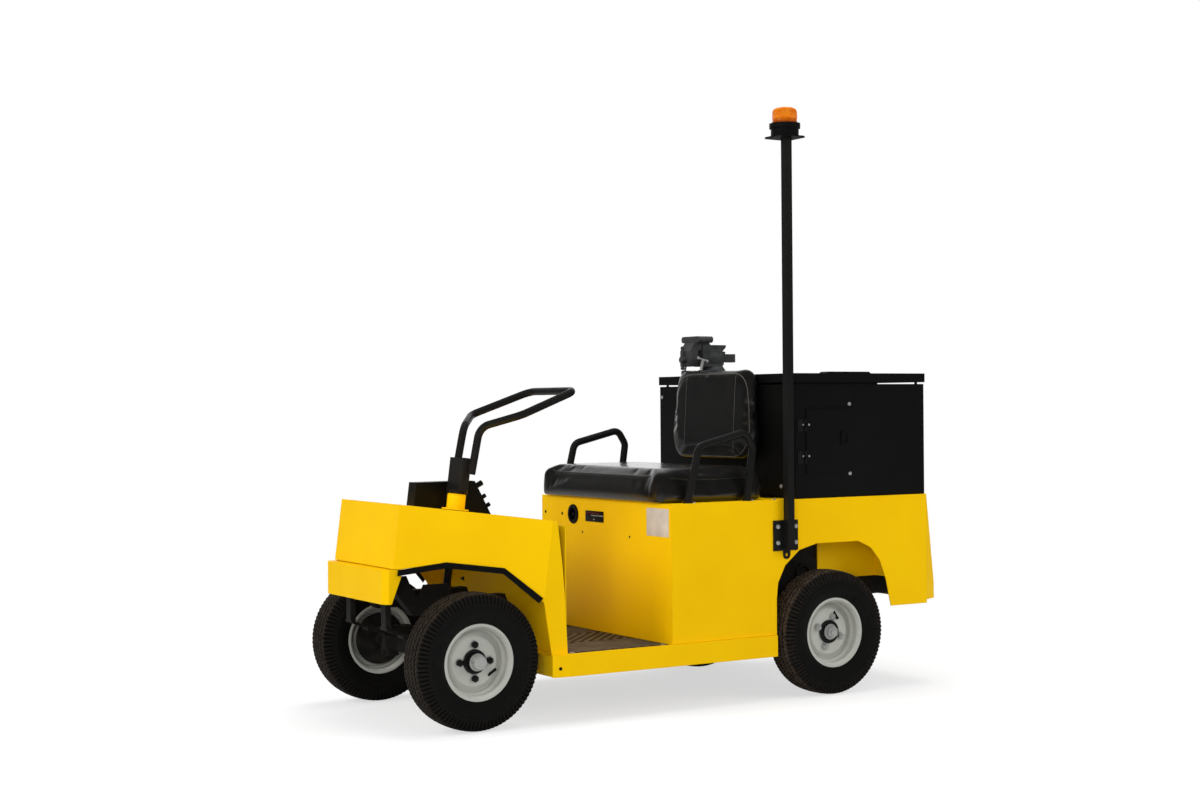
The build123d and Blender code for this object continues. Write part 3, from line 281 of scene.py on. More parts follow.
def amber_lens():
    """Amber polycarbonate, darker towards its foot, with a faint painted glow all over it."""
    material, tree, shader, place = new_finish("amber_polycarbonate")
    swirl = span(tree, noise_of(tree, place, 18, 2), 0, 1)
    clear = blend_colours(tree, swirl, "#D96A00", "#F59A20")
    tall = add(tree, "SeparateXYZ", links={0: place}).outputs["Z"]
    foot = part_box("beacon_lens")[0][2]
    low = add(tree, "MapRange", {"From Min": foot + 0.004, "From Max": foot + 0.018, "To Min": 1,
                                 "To Max": 0}, {"Value": tall}).outputs["Result"]
    tone = add(tree, "Mix", {"data_type": "RGBA", 7: colour("#7A3000")}, {0: low, 6: clear}).outputs[2]
    tree.links.new(tone, shader.inputs["Base Color"])
    shader.inputs["Roughness"].default_value = 0.12
    shader.inputs["IOR"].default_value = 1.58
    shader.inputs["Transmission Weight"].default_value = 0.45
    # Painted glow: a faint amber emission all over the lens stands in for light passing through it
    shader.inputs["Emission Color"].default_value = colour("#F07A00")
    shader.inputs["Emission Strength"].default_value = 0.10
    tree.links.new(bump(tree, noise_of(tree, place, 5), 0.05), shader.inputs["Normal"])
    return material


bright_steel = plated_steel("zinc_plated_steel", "#C9C9C6", 0.28)
vise_enamel = cast_enamel()
lens_finish = amber_lens()
print("all finishes", len(bpy.data.materials))

# %% [markdown]
# The solids that already have their real form only need their finish. Each finish lists the nodes
# that wear it, so one glance shows what the whole machine is made of.

# %% Dress the solids
finishes = {
    yellow_coat: ["front_cowl", "bumper", "body_sides", "seat_box_front", "body_deck", "rear_panel",
                  "wheel_housings", "toe_board", "column_boss", "floor_pan"],
    black_coat: ["mast", "armrests", "steering_column", "backrest_bracket", "hinges", "pedals"],
    chassis_coat: ["frame", "side_rails", "cross_members", "front_axle", "leaf_springs", "rear_axle",
                   "knuckle_left", "knuckle_right", "steering_link", "tow_hitch"],
    box_coat: ["tool_box", "tool_box_lid", "side_door", "control_box"],
    motor_coat: ["drive_motor"],
    battery_plastic: ["battery_pack"],
    black_plastic: ["control_knobs", "beacon_base"],
    trim_plastic: ["arch_trims"],
    mat_rubber: ["floor_mat"],
    vinyl_finish: ["seat_cushion", "backrest"],
    lens_finish: ["beacon_lens"],
    vise_enamel: ["vise_body", "vise_jaw"],
    rim_coat: ["wheel_front_left", "wheel_front_right", "wheel_rear_left", "wheel_rear_right"],
    tyre_finish: ["tyre_front_left", "tyre_front_right", "tyre_rear_left", "tyre_rear_right"],
}


def wear(piece, material):
    """Gives a piece one finish."""
    piece.data.materials.clear()
    piece.data.materials.append(material)


dressed = 0
for material, nodes in finishes.items():
    for node in nodes:
        wear(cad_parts[node], material)
        dressed += 1
print("dressed", dressed, "of", len(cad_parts), "nodes")

# %% [markdown]
# New pieces are made in bmesh and put straight at their place in the frame. One helper turns a
# finished bmesh into an object, gives it a finish and a body to ride on, and shades it smooth with
# sharp edges kept where the form has real corners.


# %% Piece helper
def piece_from(mesh_maker, name, material, body, sharp=35):
    """An object from a bmesh: finished, smooth shaded, riding on its body."""
    bmesh.ops.recalc_face_normals(mesh_maker, faces=mesh_maker.faces)
    for face in mesh_maker.faces:
        face.smooth = True
    for edge in mesh_maker.edges:
        if len(edge.link_faces) == 2 and edge.calc_face_angle() > math.radians(sharp):
            edge.smooth = False
    mesh = bpy.data.meshes.new(name)
    mesh_maker.to_mesh(mesh)
    mesh_maker.free()
    piece = bpy.data.objects.new(name, mesh)
    bpy.context.collection.objects.link(piece)
    wear(piece, material)
    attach(piece, body)
    return piece


def middle(node):
    """Centre of a node's box."""
    low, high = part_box(node)
    return (Vector(low) + Vector(high)) / 2


corners = ("front_left", "front_right", "rear_left", "rear_right")
wheel_centre = {c: middle("tyre_" + c) for c in corners}
print("wheelbase", round(wheel_centre["rear_left"].y - wheel_centre["front_left"].y, 3))

# %% [markdown]
# A tyre is a spun section, but its tread is not: ribs zigzag round the tyre and the shoulders are cut
# into lugs. The section is spun with four steps to each tooth. The rib edges swing out, back, in and
# back over those four steps, and the shoulder is pulled in at one of the four, which leaves a lug and
# a slot. That turns plain rings into a tread with no modelling of single blocks.

# %% Tyre section
tyre_radius = wheel_centre["front_left"].z
rim_radius = 0.116
teeth = 92
steps_per_tooth = 4
groove_depth = 0.0070
groove_width = 0.0068
zigzag = 0.0038
slot_depth = 0.0075
swing = (0, 1, 0, -1)


def tread_radius(x):
    """The crown's radius at x across the tread."""
    return tyre_radius - 0.0030 * (abs(x) / 0.045) ** 2


def tyre_section():
    """One side's points from the crown's middle to the bead: (x, radius, role)."""
    points = [(0.0, tyre_radius, "plain")]
    for centre in (0.0105, 0.0290):
        near, far = centre - groove_width / 2, centre + groove_width / 2
        top_near, top_far = tread_radius(near), tread_radius(far)
        points += [(near - 0.0004, top_near, "rib"), (near + 0.0006, top_near - groove_depth, "floor"),
                   (far - 0.0006, top_far - groove_depth, "floor"), (far + 0.0004, top_far, "rib")]
    points += [(0.0380, tread_radius(0.038), "plain"), (0.0440, tread_radius(0.044), "crown edge"),
               (0.0490, tyre_radius - 0.0070, "shoulder"), (0.0535, tyre_radius - 0.0150, "shoulder"),
               (0.0570, tyre_radius - 0.0250, "shoulder"), (0.0584, tyre_radius - 0.0330, "lug foot"),
               (0.0590, tyre_radius - 0.0350, "plain"), (0.0604, tyre_radius - 0.0440, "plain"),
               (0.0618, tyre_radius - 0.0452, "plain"), (0.0618, tyre_radius - 0.0470, "plain"),
               (0.0606, tyre_radius - 0.0482, "plain"), (0.0602, tyre_radius - 0.0600, "plain"),
               (0.0584, tyre_radius - 0.0700, "plain"), (0.0572, tyre_radius - 0.0715, "plain"),
               (0.0545, tyre_radius - 0.0790, "plain"), (0.0522, tyre_radius - 0.0840, "plain"),
               (0.0500, tyre_radius - 0.0860, "plain"), (0.0478, rim_radius + 0.0012, "plain"),
               (0.0460, rim_radius - 0.0060, "plain")]
    return points


print("points in half a section", len(tyre_section()))

# %% [markdown]
# Now the section is spun, and every point is told apart by its row in the section and its step round
# the tyre. The front tyres get a third of the dust that the rear ones get, so their tread is drawn darker.


# %% Four tyres
def make_tyre(corner):
    """The tyre of one corner, spun about the wheel's axle."""
    side = tyre_section()
    whole = [(-x, r, role) for x, r, role in side[:0:-1]] + side
    maker = bmesh.new()
    row = maker.verts.layers.int.new("row")
    verts = []
    for number, (x, radius, role) in enumerate(whole):
        vert = maker.verts.new((x, 0, radius))
        vert[row] = number
        verts.append(vert)
    edges = [maker.edges.new(pair) for pair in zip(verts, verts[1:])]
    steps = teeth * steps_per_tooth
    bmesh.ops.spin(maker, geom=verts + edges, cent=(0, 0, 0), axis=(1, 0, 0), angle=2 * math.pi,
                   steps=steps, use_merge=True)
    dusty = maker.verts.layers.float.new("dusty")
    worn = {"floor": 0.0, "rib": 0.9, "shoulder": 0.12, "crown edge": 0.6, "lug foot": 0.05}
    dust = 0.35 if "front" in corner else 1
    for vert in maker.verts:
        x, radius, role = whole[vert[row]]
        step = round(math.atan2(-vert.co.y, vert.co.z) / (2 * math.pi) * steps) % steps_per_tooth
        radial = Vector((0, vert.co.y, vert.co.z)).normalized()
        if role in ("rib", "floor"):
            vert.co.x += swing[step] * zigzag
        if role in ("shoulder", "crown edge") and step == 0:
            pull = slot_depth * (0.45 if role == "crown edge" else 1.0)
            vert.co -= radial * pull * 0.6 + Vector((math.copysign(pull * 0.75, x), 0, 0))
        vert[dusty] = worn.get(role, 0.8 if abs(x) < 0.042 else 0.0) * dust
    bmesh.ops.translate(maker, verts=maker.verts, vec=wheel_centre[corner])
    tyre = piece_from(maker, "tyre_with_tread_" + corner, tyre_finish, "wheel_" + corner,
                      40)
    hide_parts("tyre_" + corner)
    return tyre


tyres = [make_tyre(corner) for corner in corners]
print("tyre faces", len(tyres[0].data.polygons))

# %% [markdown]
# The wheels are the most mechanical thing in view, so they get what a mechanic would touch: a hub
# ring, a dust cap pressed into it, four hexagon nuts on the bolt circle and a rubber valve. Round
# pieces are spun from a short section; a nut is a six-sided drum with bevelled corners.


# %% Turned pieces
def lathe(maker, section, place, direction, steps=48):
    """Spins a section of (distance, radius) in mm about the line from place along direction."""
    before = set(maker.verts)
    verts = [maker.verts.new((x * MM, 0, r * MM)) for x, r in section]
    edges = [maker.edges.new(pair) for pair in zip(verts, verts[1:])]
    bmesh.ops.spin(maker, geom=verts + edges, cent=(0, 0, 0), axis=(1, 0, 0), angle=2 * math.pi,
                   steps=steps, use_merge=True)
    made = [v for v in maker.verts if v not in before]
    bmesh.ops.remove_doubles(maker, verts=made, dist=0.02 * MM)
    made = [v for v in maker.verts if v not in before]
    turn = Vector(direction).to_track_quat("X", "Z").to_matrix().to_4x4()
    bmesh.ops.transform(maker, matrix=Matrix.Translation(place) @ turn, verts=made)
    return made


def stud(maker, place, direction, across, height, sides=6, bevel=1.2, taper=1.0):
    """A drum or hexagon standing on place along direction, sizes in mm, with a bevelled top."""
    turn = Vector(direction).to_track_quat("Z", "Y").to_matrix().to_4x4()
    made = bmesh.ops.create_cone(maker, cap_ends=True, segments=sides, radius1=across / 2 * MM,
                                 radius2=across / 2 * taper * MM, depth=height * MM,
                                 matrix=Matrix.Translation((0, 0, height / 2 * MM)))["verts"]
    top = [e for e in {e for v in made for e in v.link_edges}
           if all(v.co.z > height * 0.9 * MM for v in e.verts)]
    if bevel:
        grown = bmesh.ops.bevel(maker, geom=top, offset=bevel * MM, segments=3, profile=0.5,
                                affect="EDGES", material=-1)
        made = list({v for v in made if v.is_valid} | set(grown["verts"]))
    bmesh.ops.transform(maker, matrix=Matrix.Translation(place) @ turn, verts=made)


def from_centre(corner, x_mm, y_mm, z_mm):
    """Place beside a wheel: x_mm outwards from its middle, y and z in mm."""
    side = 1 if "left" in corner else -1
    return wheel_centre[corner] + Vector((side * x_mm, y_mm, z_mm)) * MM


# %% [markdown]
# The front hub ends in a pressed dust cap, the rear one in an axle nut, and the nuts are black in
# front and plated at the rear. The sections below are read off the wheel like a turner's drawing:
# distance out from the wheel's middle, then radius, in millimetres.

# %% Hubs, nuts and valves
bolt_circle = 50.8
front_ring = [(14.1, 20), (14.1, 37.4), (17, 37.4), (19, 36.4), (22.4, 36.4), (22.4, 29.5), (34, 28.6),
              (35, 27.4), (35, 20)]
front_cap = [(35.02, 26.5), (37, 26.5), (37.8, 24.8), (38.6, 23), (54, 22.2), (57, 21), (58.6, 18.6),
             (58.6, 13), (59.4, 12), (59.4, 0)]
rear_ring = [(14.1, 20), (14.1, 39), (17, 39), (18.6, 38.3), (20.4, 38.3), (21, 31), (24.2, 30.2),
             (24.2, 19)]

for corner in corners:
    side = 1 if "left" in corner else -1
    front = corner.startswith("front")
    ring = bmesh.new()
    lathe(ring, front_ring if front else rear_ring, wheel_centre[corner], (side, 0, 0))
    piece_from(ring, "hub_ring_" + corner, black_coat, "wheel_" + corner, 30)
    bright, dark = bmesh.new(), bmesh.new()
    if front:
        lathe(bright, front_cap, wheel_centre[corner], (side, 0, 0))
    else:
        stud(bright, from_centre(corner, 24.2, 0, 0), (side, 0, 0), 52, 2.5, 32, 0.6)
        stud(bright, from_centre(corner, 26.7, 0, 0), (side, 0, 0), 42, 14, 6, 1.5)
        stud(bright, from_centre(corner, 40.7, 0, 0), (side, 0, 0), 22, 5, 20, 1)
    for number in range(4):
        turn = number * math.pi / 2 + (0 if front else 0.35)
        y, z = bolt_circle * math.sin(turn), bolt_circle * math.cos(turn)
        nuts = dark if front else bright
        stud(bright, from_centre(corner, 14.0, y, z), (side, 0, 0), 27, 1.2, 28, 0.4)
        stud(nuts, from_centre(corner, 15.2, y, z), (side, 0, 0), 22, 11, 6, 2.2)
        stud(nuts, from_centre(corner, 26.2, y, z), (side, 0, 0), 11, 4, 14, 1)
    piece_from(bright, "bright_nuts_" + corner, bright_steel, "wheel_" + corner, 30)
    if front:
        piece_from(dark, "lug_nuts_" + corner, black_coat, "wheel_" + corner, 30)
    else:
        dark.free()
    valve = bmesh.new()
    y, z = (48, -49) if front else (28, 67)
    outwards = Vector((side * 27, 13, 23) if front else (side * 27, -6, -20)).normalized()
    foot = from_centre(corner, 6, y, z)
    stud(valve, foot, outwards, 12, 10, 20, 2, 0.8)
    stud(valve, foot + outwards * 9 * MM, outwards, 8.4, 24, 20, 1)
    stud(valve, foot + outwards * 32 * MM, outwards, 9.4, 8, 12, 1.6)
    mark_y, mark_z = (88, -107) if front else (82, 104)
    stud(valve, from_centre(corner, 60.2, mark_y, mark_z), (side, 0, 0), 16, 1.0, 24, 0.4)
    piece_from(valve, "valve_" + corner, tyre_finish, "wheel_" + corner, 30)
print("wheels dressed:", ", ".join(corners))

# %% [markdown]
# Padding is where a drawn block gives itself away. The two pads are real cloth here: the CAD solid is
# remeshed into an even skin, blown up a little from inside while its folds settle, and frozen. The
# skin starts slightly small, so that the swollen pad ends where the real one does. Seams and welts
# come after, because a remesh would swallow them.


# %% Cloth helpers
def settle(pad, pressure, frames, cap):
    """Blows the pad up from inside as cloth, then keeps the result with each move capped."""
    start = [v.co.copy() for v in pad.data.vertices]
    cloth = pad.modifiers.new("stuffing", "CLOTH")
    cloth.settings.quality = 5
    cloth.settings.mass = 0.4
    cloth.settings.tension_stiffness = 22
    cloth.settings.compression_stiffness = 22
    cloth.settings.shear_stiffness = 8
    cloth.settings.bending_stiffness = 6
    cloth.settings.use_pressure = True
    cloth.settings.uniform_pressure_force = pressure
    cloth.settings.effector_weights.gravity = 0
    cloth.collision_settings.use_self_collision = False
    group = pad.vertex_groups.new(name="held")
    low = min(v.z for v in start)
    group.add([i for i, v in enumerate(start) if v.z < low + 4 * MM], 1.0, "REPLACE")
    cloth.settings.vertex_group_mass = "held"
    for number in range(1, frames + 1):
        bpy.context.scene.frame_set(number)
    shown = pad.evaluated_get(bpy.context.evaluated_depsgraph_get())
    ends = [v.co.copy() for v in shown.data.vertices]
    pad.modifiers.remove(cloth)
    for vert, first, last in zip(pad.data.vertices, start, ends):
        move = last - first
        if move.length > cap:
            move = move * (cap / move.length)
        vert.co = first + move
    bpy.context.scene.frame_set(1)


def relax(pad, rounds):
    """Rounds a mesh off by moving each point towards its neighbours."""
    maker = bmesh.new()
    maker.from_mesh(pad.data)
    for number in range(rounds):
        bmesh.ops.smooth_vert(maker, verts=maker.verts, factor=0.5, use_axis_x=True, use_axis_y=True,
                              use_axis_z=True)
    bmesh.ops.recalc_face_normals(maker, faces=maker.faces)
    for face in maker.faces:
        face.smooth = True
    maker.to_mesh(pad.data)
    maker.free()


# Rounds of smoothing: the cushion keeps firm edges, the backrest is soft all round
softening = {"seat_cushion": 5, "backrest": 22}


def even_skin(node, name, voxel_mm, shrink_mm):
    """A copy of a CAD solid as one even skin, a little smaller all round."""
    maker = bmesh.new()
    maker.from_mesh(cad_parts[node].data)
    bmesh.ops.remove_doubles(maker, verts=maker.verts, dist=0.01 * MM)
    low, high = (Vector(p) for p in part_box(node))
    centre, half = (low + high) / 2, (high - low) / 2
    for vert in maker.verts:
        for axis in range(3):
            kept = 1 - shrink_mm * MM / half[axis]
            vert.co[axis] = centre[axis] + (vert.co[axis] - centre[axis]) * kept
    mesh = bpy.data.meshes.new(name)
    maker.to_mesh(mesh)
    maker.free()
    pad = bpy.data.objects.new(name, mesh)
    bpy.context.collection.objects.link(pad)
    remesh = pad.modifiers.new("even", "REMESH")
    remesh.mode = "VOXEL"
    remesh.voxel_size = voxel_mm * MM
    shown = pad.evaluated_get(bpy.context.evaluated_depsgraph_get())
    even = bpy.data.meshes.new_from_object(shown)
    pad.modifiers.remove(remesh)
    pad.data = even
    relax(pad, softening[node])
    return pad


def finish_pad(pad, node, proud):
    relax(pad, 3)
    for axis, (low, high) in enumerate(zip(*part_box(node))):
        low, high = low - proud[axis][0] * MM, high + proud[axis][1] * MM
        places = [v.co[axis] for v in pad.data.vertices]
        least, most = min(places), max(places)
        for vert in pad.data.vertices:
            vert.co[axis] = low + (vert.co[axis] - least) * (high - low) / (most - least)
    smooth = pad.modifiers.new("smooth", "SUBSURF")
    smooth.levels = smooth.render_levels = 1
    wear(pad, vinyl_finish)
    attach(pad, "chassis")
    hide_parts(node)


# %% [markdown]
# The cushion is filled harder than the backrest, and its vinyl bulges a little past the plain solid
# at the far end, in front and on the crown. The six numbers say by how many millimetres, low side and
# high side, along x, y and z.

# %% Cushion and backrest
flush = ((0, 0), (0, 0), (0, 0))
pads = {}
for node, voxel, shrink, pressure, cap, fill, proud in (
        ("seat_cushion", 6, 5, 3.2, 12 * MM, 0.6, ((24, 1), (15, 0), (0, 19))),
        ("backrest", 5, 4, 3.0, 8 * MM, 0.7, flush)):
    pad = even_skin(node, "stuffed_" + node, voxel, shrink)
    settle(pad, pressure, 20, cap)
    finish_pad(pad, node, proud)
    pads[node] = pad
    print(pad.name, len(pad.data.polygons), "faces")

# %% [markdown]
# Welts and seams lie on the pads, so they are found by shooting rays at them. Each path is a list of
# rays; where a ray meets the vinyl, a point of the welt is laid, and a thin tube is run along them.


# %% Welt helpers
def tube(maker, points, radius_mm, closed=False, sides=8):
    """A round tube along points."""
    count = len(points)
    rings = []
    for i, point in enumerate(points):
        before = points[i - 1] if closed or i else point
        after = points[(i + 1) % count] if closed or i < count - 1 else point
        along = (after - before).normalized()
        across = along.cross(Vector((0.31, 0.17, 0.94))).normalized()
        other = along.cross(across)
        ring = [maker.verts.new(point + (across * math.cos(a) + other * math.sin(a)) * radius_mm * MM)
                for a in (2 * math.pi * k / sides for k in range(sides))]
        rings.append(ring)
    pairs = list(zip(rings, rings[1:])) + ([(rings[-1], rings[0])] if closed else [])
    for first, second in pairs:
        start = min(range(sides), key=lambda s: (second[s].co - first[0].co).length)
        for k in range(sides):
            maker.faces.new((first[k], first[(k + 1) % sides], second[(start + k + 1) % sides],
                             second[(start + k) % sides]))
    if not closed:
        maker.faces.new(rings[0])
        maker.faces.new(rings[-1])


def laid_on(pad, rays, sink_mm=0.0):
    """Where each ray (start, direction) meets the pad; misses are left out."""
    tree = BVHTree.FromObject(pad, bpy.context.evaluated_depsgraph_get())
    hits = []
    for start, direction in rays:
        place, normal, face, distance = tree.ray_cast(start, direction.normalized())
        if place:
            hits.append(place - normal * sink_mm * MM)
    return hits


def eased(points, rounds, closed=True):
    """A path with its small wobbles taken out."""
    for number in range(rounds):
        count = len(points)
        ends = () if closed else (0, count - 1)
        points = [p if i in ends else (points[i - 1] + 2 * p + points[(i + 1) % count]) / 4
                  for i, p in enumerate(points)]
    return points


def round_loop(centre, half_x, half_y, radius, count):
    """Points and outward directions round a rectangle with rounded corners, in its own plane."""
    found = []
    for number in range(count):
        turn = 2 * math.pi * number / count
        direction = Vector((math.cos(turn), math.sin(turn)))
        reach = min(half_x / max(abs(direction.x), 1e-6), half_y / max(abs(direction.y), 1e-6))
        point = direction * reach
        inner = Vector((max(-half_x + radius, min(half_x - radius, point.x)),
                        max(-half_y + radius, min(half_y - radius, point.y))))
        outward = point - inner
        if outward.length < 1e-6:
            outward = direction
        found.append((centre + inner + outward.normalized() * radius, outward.normalized()))
    return found


print("welt helpers ready")

# %% [markdown]
# The cushion has one welt round its top edge, in its own vinyl. The backrest has one that follows its
# rounded outline, and two upright seams that part its middle panel from its wings, both drawn paler as a
# painted highlight along them.

# %% Welts and seams
cushion_low, cushion_high = (Vector(p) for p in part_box("seat_cushion"))
back_low, back_high = (Vector(p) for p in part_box("backrest"))
welts = bmesh.new()
middle_xy = Vector(((cushion_low.x + cushion_high.x) / 2, (cushion_low.y + cushion_high.y) / 2))
half_x, half_y = (cushion_high.x - cushion_low.x) / 2, (cushion_high.y - cushion_low.y) / 2
rays = []
for point, outward in round_loop(middle_xy, half_x, half_y, 0.034, 200):
    out = Vector((outward.x, outward.y, 0))
    start = Vector((point.x, point.y, cushion_high.z)) + out * 0.05 + Vector((0, 0, 0.05))
    rays.append((start, -out - Vector((0, 0, 1))))
tube(welts, eased(laid_on(pads["seat_cushion"], rays, 0.2), 6), 2.4, closed=True)
piece_from(welts, "cushion_welt", vinyl_finish, "chassis", 60)

welts = bmesh.new()
middle_xz = Vector(((back_low.x + back_high.x) / 2, (back_low.z + back_high.z) / 2))
half_x, half_z = (back_high.x - back_low.x) / 2, (back_high.z - back_low.z) / 2
rays = []
for point, outward in round_loop(middle_xz, half_x - 0.004, half_z - 0.002, 0.075, 200):
    share = (point.y - back_low.z) / (back_high.z - back_low.z)
    narrow = 1 - 0.085 * max(0, share - 0.3) / 0.7 - 0.10 * max(0, 0.3 - share) / 0.3
    out = Vector((outward.x, 0, outward.y))
    start = Vector((point.x * narrow, back_low.y - 0.05, point.y)) + out * 0.03
    rays.append((start, Vector((-out.x * 0.6, 1, -out.z * 0.6))))
tube(welts, eased(laid_on(pads["backrest"], rays, -0.2), 10), 2.0, closed=True)
piece_from(welts, "backrest_welt", welt_vinyl_painted_highlight, "chassis", 60)

seams = bmesh.new()
seam_offset, seam_steps = 0.147, 40
seam_low, seam_high = back_low.z + 0.022, back_high.z - 0.018
for x in (-seam_offset, seam_offset):
    rays = [(Vector((x, back_low.y - 0.05, seam_low + (seam_high - seam_low) * k / seam_steps)),
             Vector((0, 1, 0))) for k in range(seam_steps + 1)]
    tube(seams, laid_on(pads["backrest"], rays, 0.5), 1.3)
piece_from(seams, "backrest_seams", welt_vinyl_painted_highlight, "chassis", 60)
print("welts and seams laid on", ", ".join(pads))

# %% [markdown]
# Small things settle the scale of a machine. They are listed in tables in the vehicle's drawing
# numbers, millimetres with the front axle at y = 0, and one function turns those into frame places.

# %% Small fasteners and holes
def at(x, y, z):
    """A place in the frame from drawing millimetres."""
    return Vector((x, y - 806, z)) * MM


left, ahead, top = (1, 0, 0), (0, -1, 0), (0, 0, 1)
sill_out = (58, -9, 0)
# Each line: place, direction, across, height, sides, bevel
bright_table = [
    *[(at(415.5, y, z), left, 15, 6.5, 6, 1.4) for y in (1096.5, 1169.5) for z in (515, 568)],
    *[(at(404.5, y, z), left, 13, 3.6, 20, 1.8) for y, z in ((1410.5, 970), (1411.5, 735.5))],
    *[(at(404.5, 1213.5, z), left, 7.5, 3.0, 14, 1.2) for z in (797.5, 902)],
    (at(326, 1182, 695.5), ahead, 13, 3.6, 20, 1.8), (at(-391.5, 1182, 998.5), ahead, 13, 3.6, 20, 1.8),
    *[(at(400, y, 655.8), top, 10, 4.5, 6, 1.0) for y in (776, 1006, 1096)],
    *[(at(-400, y, 655.8), top, 10, 4.5, 6, 1.0) for y in (776, 1006, 1096)],
    *[(at(x, y, 211.2), top, 17, 1.6, 24, 0.6) for x in (-388, 388) for y in (325, 660)],
]
# Black discs where the sheet has holes: painted shade standing for the dark inside each hole
hole_shade_table = [
    *[(at(x, 681.3, z), ahead, 11, 1.2, 20, 0.4) for x, z in ((-387, 597), (-271, 596))],
    *[(at(x, 681.3, 539), ahead, 8, 0.9, 18, 0.3) for x in (-135, 164)],
    (at(285, 1182, 1000.5), ahead, 10, 1.0, 20, 0.3), (at(415.0, 268, 170), sill_out, 11, 1.4, 20, 0.4),
]
yellow_table = [
    (at(411.8, 747, 512), left, 6, 1.0, 14, 0.4), (at(411.8, 750, 302), left, 6, 1.0, 14, 0.4),
    (at(278, 681.3, 302), ahead, 6, 1.0, 14, 0.4),
]
for name, table, finish, slot in (("bright_fasteners", bright_table, bright_steel, "black_box"),
                                  ("painted_hole_shade", hole_shade_table, black_plastic, "black_plastic"),
                                  ("painted_rivets", yellow_table, yellow_coat, "body_paint")):
    maker = bmesh.new()
    for place, direction, across, height, sides, bevel in table:
        stud(maker, place, direction, across, height, sides, bevel)
    piece_from(maker, name, finish, "chassis", 30)
door_rivets = bmesh.new()
for z in (797.5, 902):
    stud(door_rivets, at(407.4, 1235.5, z), left, 7.5, 3.0, 14, 1.2)
piece_from(door_rivets, "door_rivets", bright_steel, "door", 30)
print(len(bright_table) + len(hole_shade_table) + len(yellow_table), "small fasteners")


# %% [markdown]
# The seat box front carries the electric side of the machine: a charge receptacle under its cap, a
# panel of small lamps, and a pale label, which stays blank here. Each is a turned piece or a thin
# plate that stands a millimetre or so proud of the sheet. A black strip fills the gap under the lid's
# left edge.


# %% Receptacle, label and indicator panel
def plate(maker, low, high, bevel_mm):
    """A thin box between two corners with softened edges."""
    centre, size = (low + high) / 2, high - low
    made = bmesh.ops.create_cube(maker, size=1)["verts"]
    bmesh.ops.scale(maker, vec=size, verts=made)
    bmesh.ops.translate(maker, vec=centre, verts=made)
    if bevel_mm:
        edges = list({e for v in made for e in v.link_edges})
        bmesh.ops.bevel(maker, geom=edges, offset=bevel_mm * MM, segments=2, profile=0.5,
                        affect="EDGES", material=-1)


socket = bmesh.new()
socket_place = at(-195, 681, 598)
lathe(socket, [(0.2, 20), (0.2, 33.5), (3, 33.5), (4.6, 32), (5.4, 29), (5.4, 23), (4.6, 21.6),
               (-12, 21.6), (-12, 0)], socket_place, ahead)
lathe(socket, [(-12, 6), (2, 6), (3, 5), (3, 0)], socket_place, ahead, 20)
piece_from(socket, "charge_receptacle", black_plastic, "chassis", 30)

# A black plate behind the toe board's triangular hole: painted shade, so the hole reads dark instead of
# showing the backdrop
hole_shade_plate = bmesh.new()
plate(hole_shade_plate, at(-311, 298.6, 377), at(-271, 300.6, 402), 0.4)
piece_from(hole_shade_plate, "toe_board_painted_hole_shade", black_plastic, "chassis", 30)
label = bmesh.new()
plate(label, at(267, 680.4, 550), at(396, 681.2, 640), 0.2)
piece_from(label, "blank_label", label_plastic, "chassis", 30)
gap_strip = bmesh.new()
plate(gap_strip, at(393, 1190, 1036.8), at(400, 1540, 1042.4), 1)
piece_from(gap_strip, "lid_gap_strip", black_plastic, "chassis", 30)
panel = bmesh.new()
plate(panel, at(-114, 679.4, 577), at(3, 681.2, 614), 0.8)
piece_from(panel, "indicator_panel", black_plastic, "chassis", 30)
red_places = [(x, 606) for x in range(-100, -10, 18)]
white_places = [(x, 598.5) for x in range(-70, 0, 13)] + [(-58, 585)]
for name, code, places in (("lamps_red", "#B0281C", red_places), ("lamps_white", "#C9CEC9", white_places)):
    maker = bmesh.new()
    for x, z in places:
        plate(maker, at(x - 3.2, 678.9, z - 1.7), at(x + 3.2, 679.6, z + 1.7), 0.2)
    piece_from(maker, name, moulded_plastic("lamp_" + name, code, 0.3), "chassis", 30)
print("lamps", len(red_places) + len(white_places))

# %% [markdown]
# The floor mat carries a herringbone of ribs so that a boot grips whichever way it is set down. Each
# rib is a ridge with a flat top along a slanting line, cut off where the mat ends.


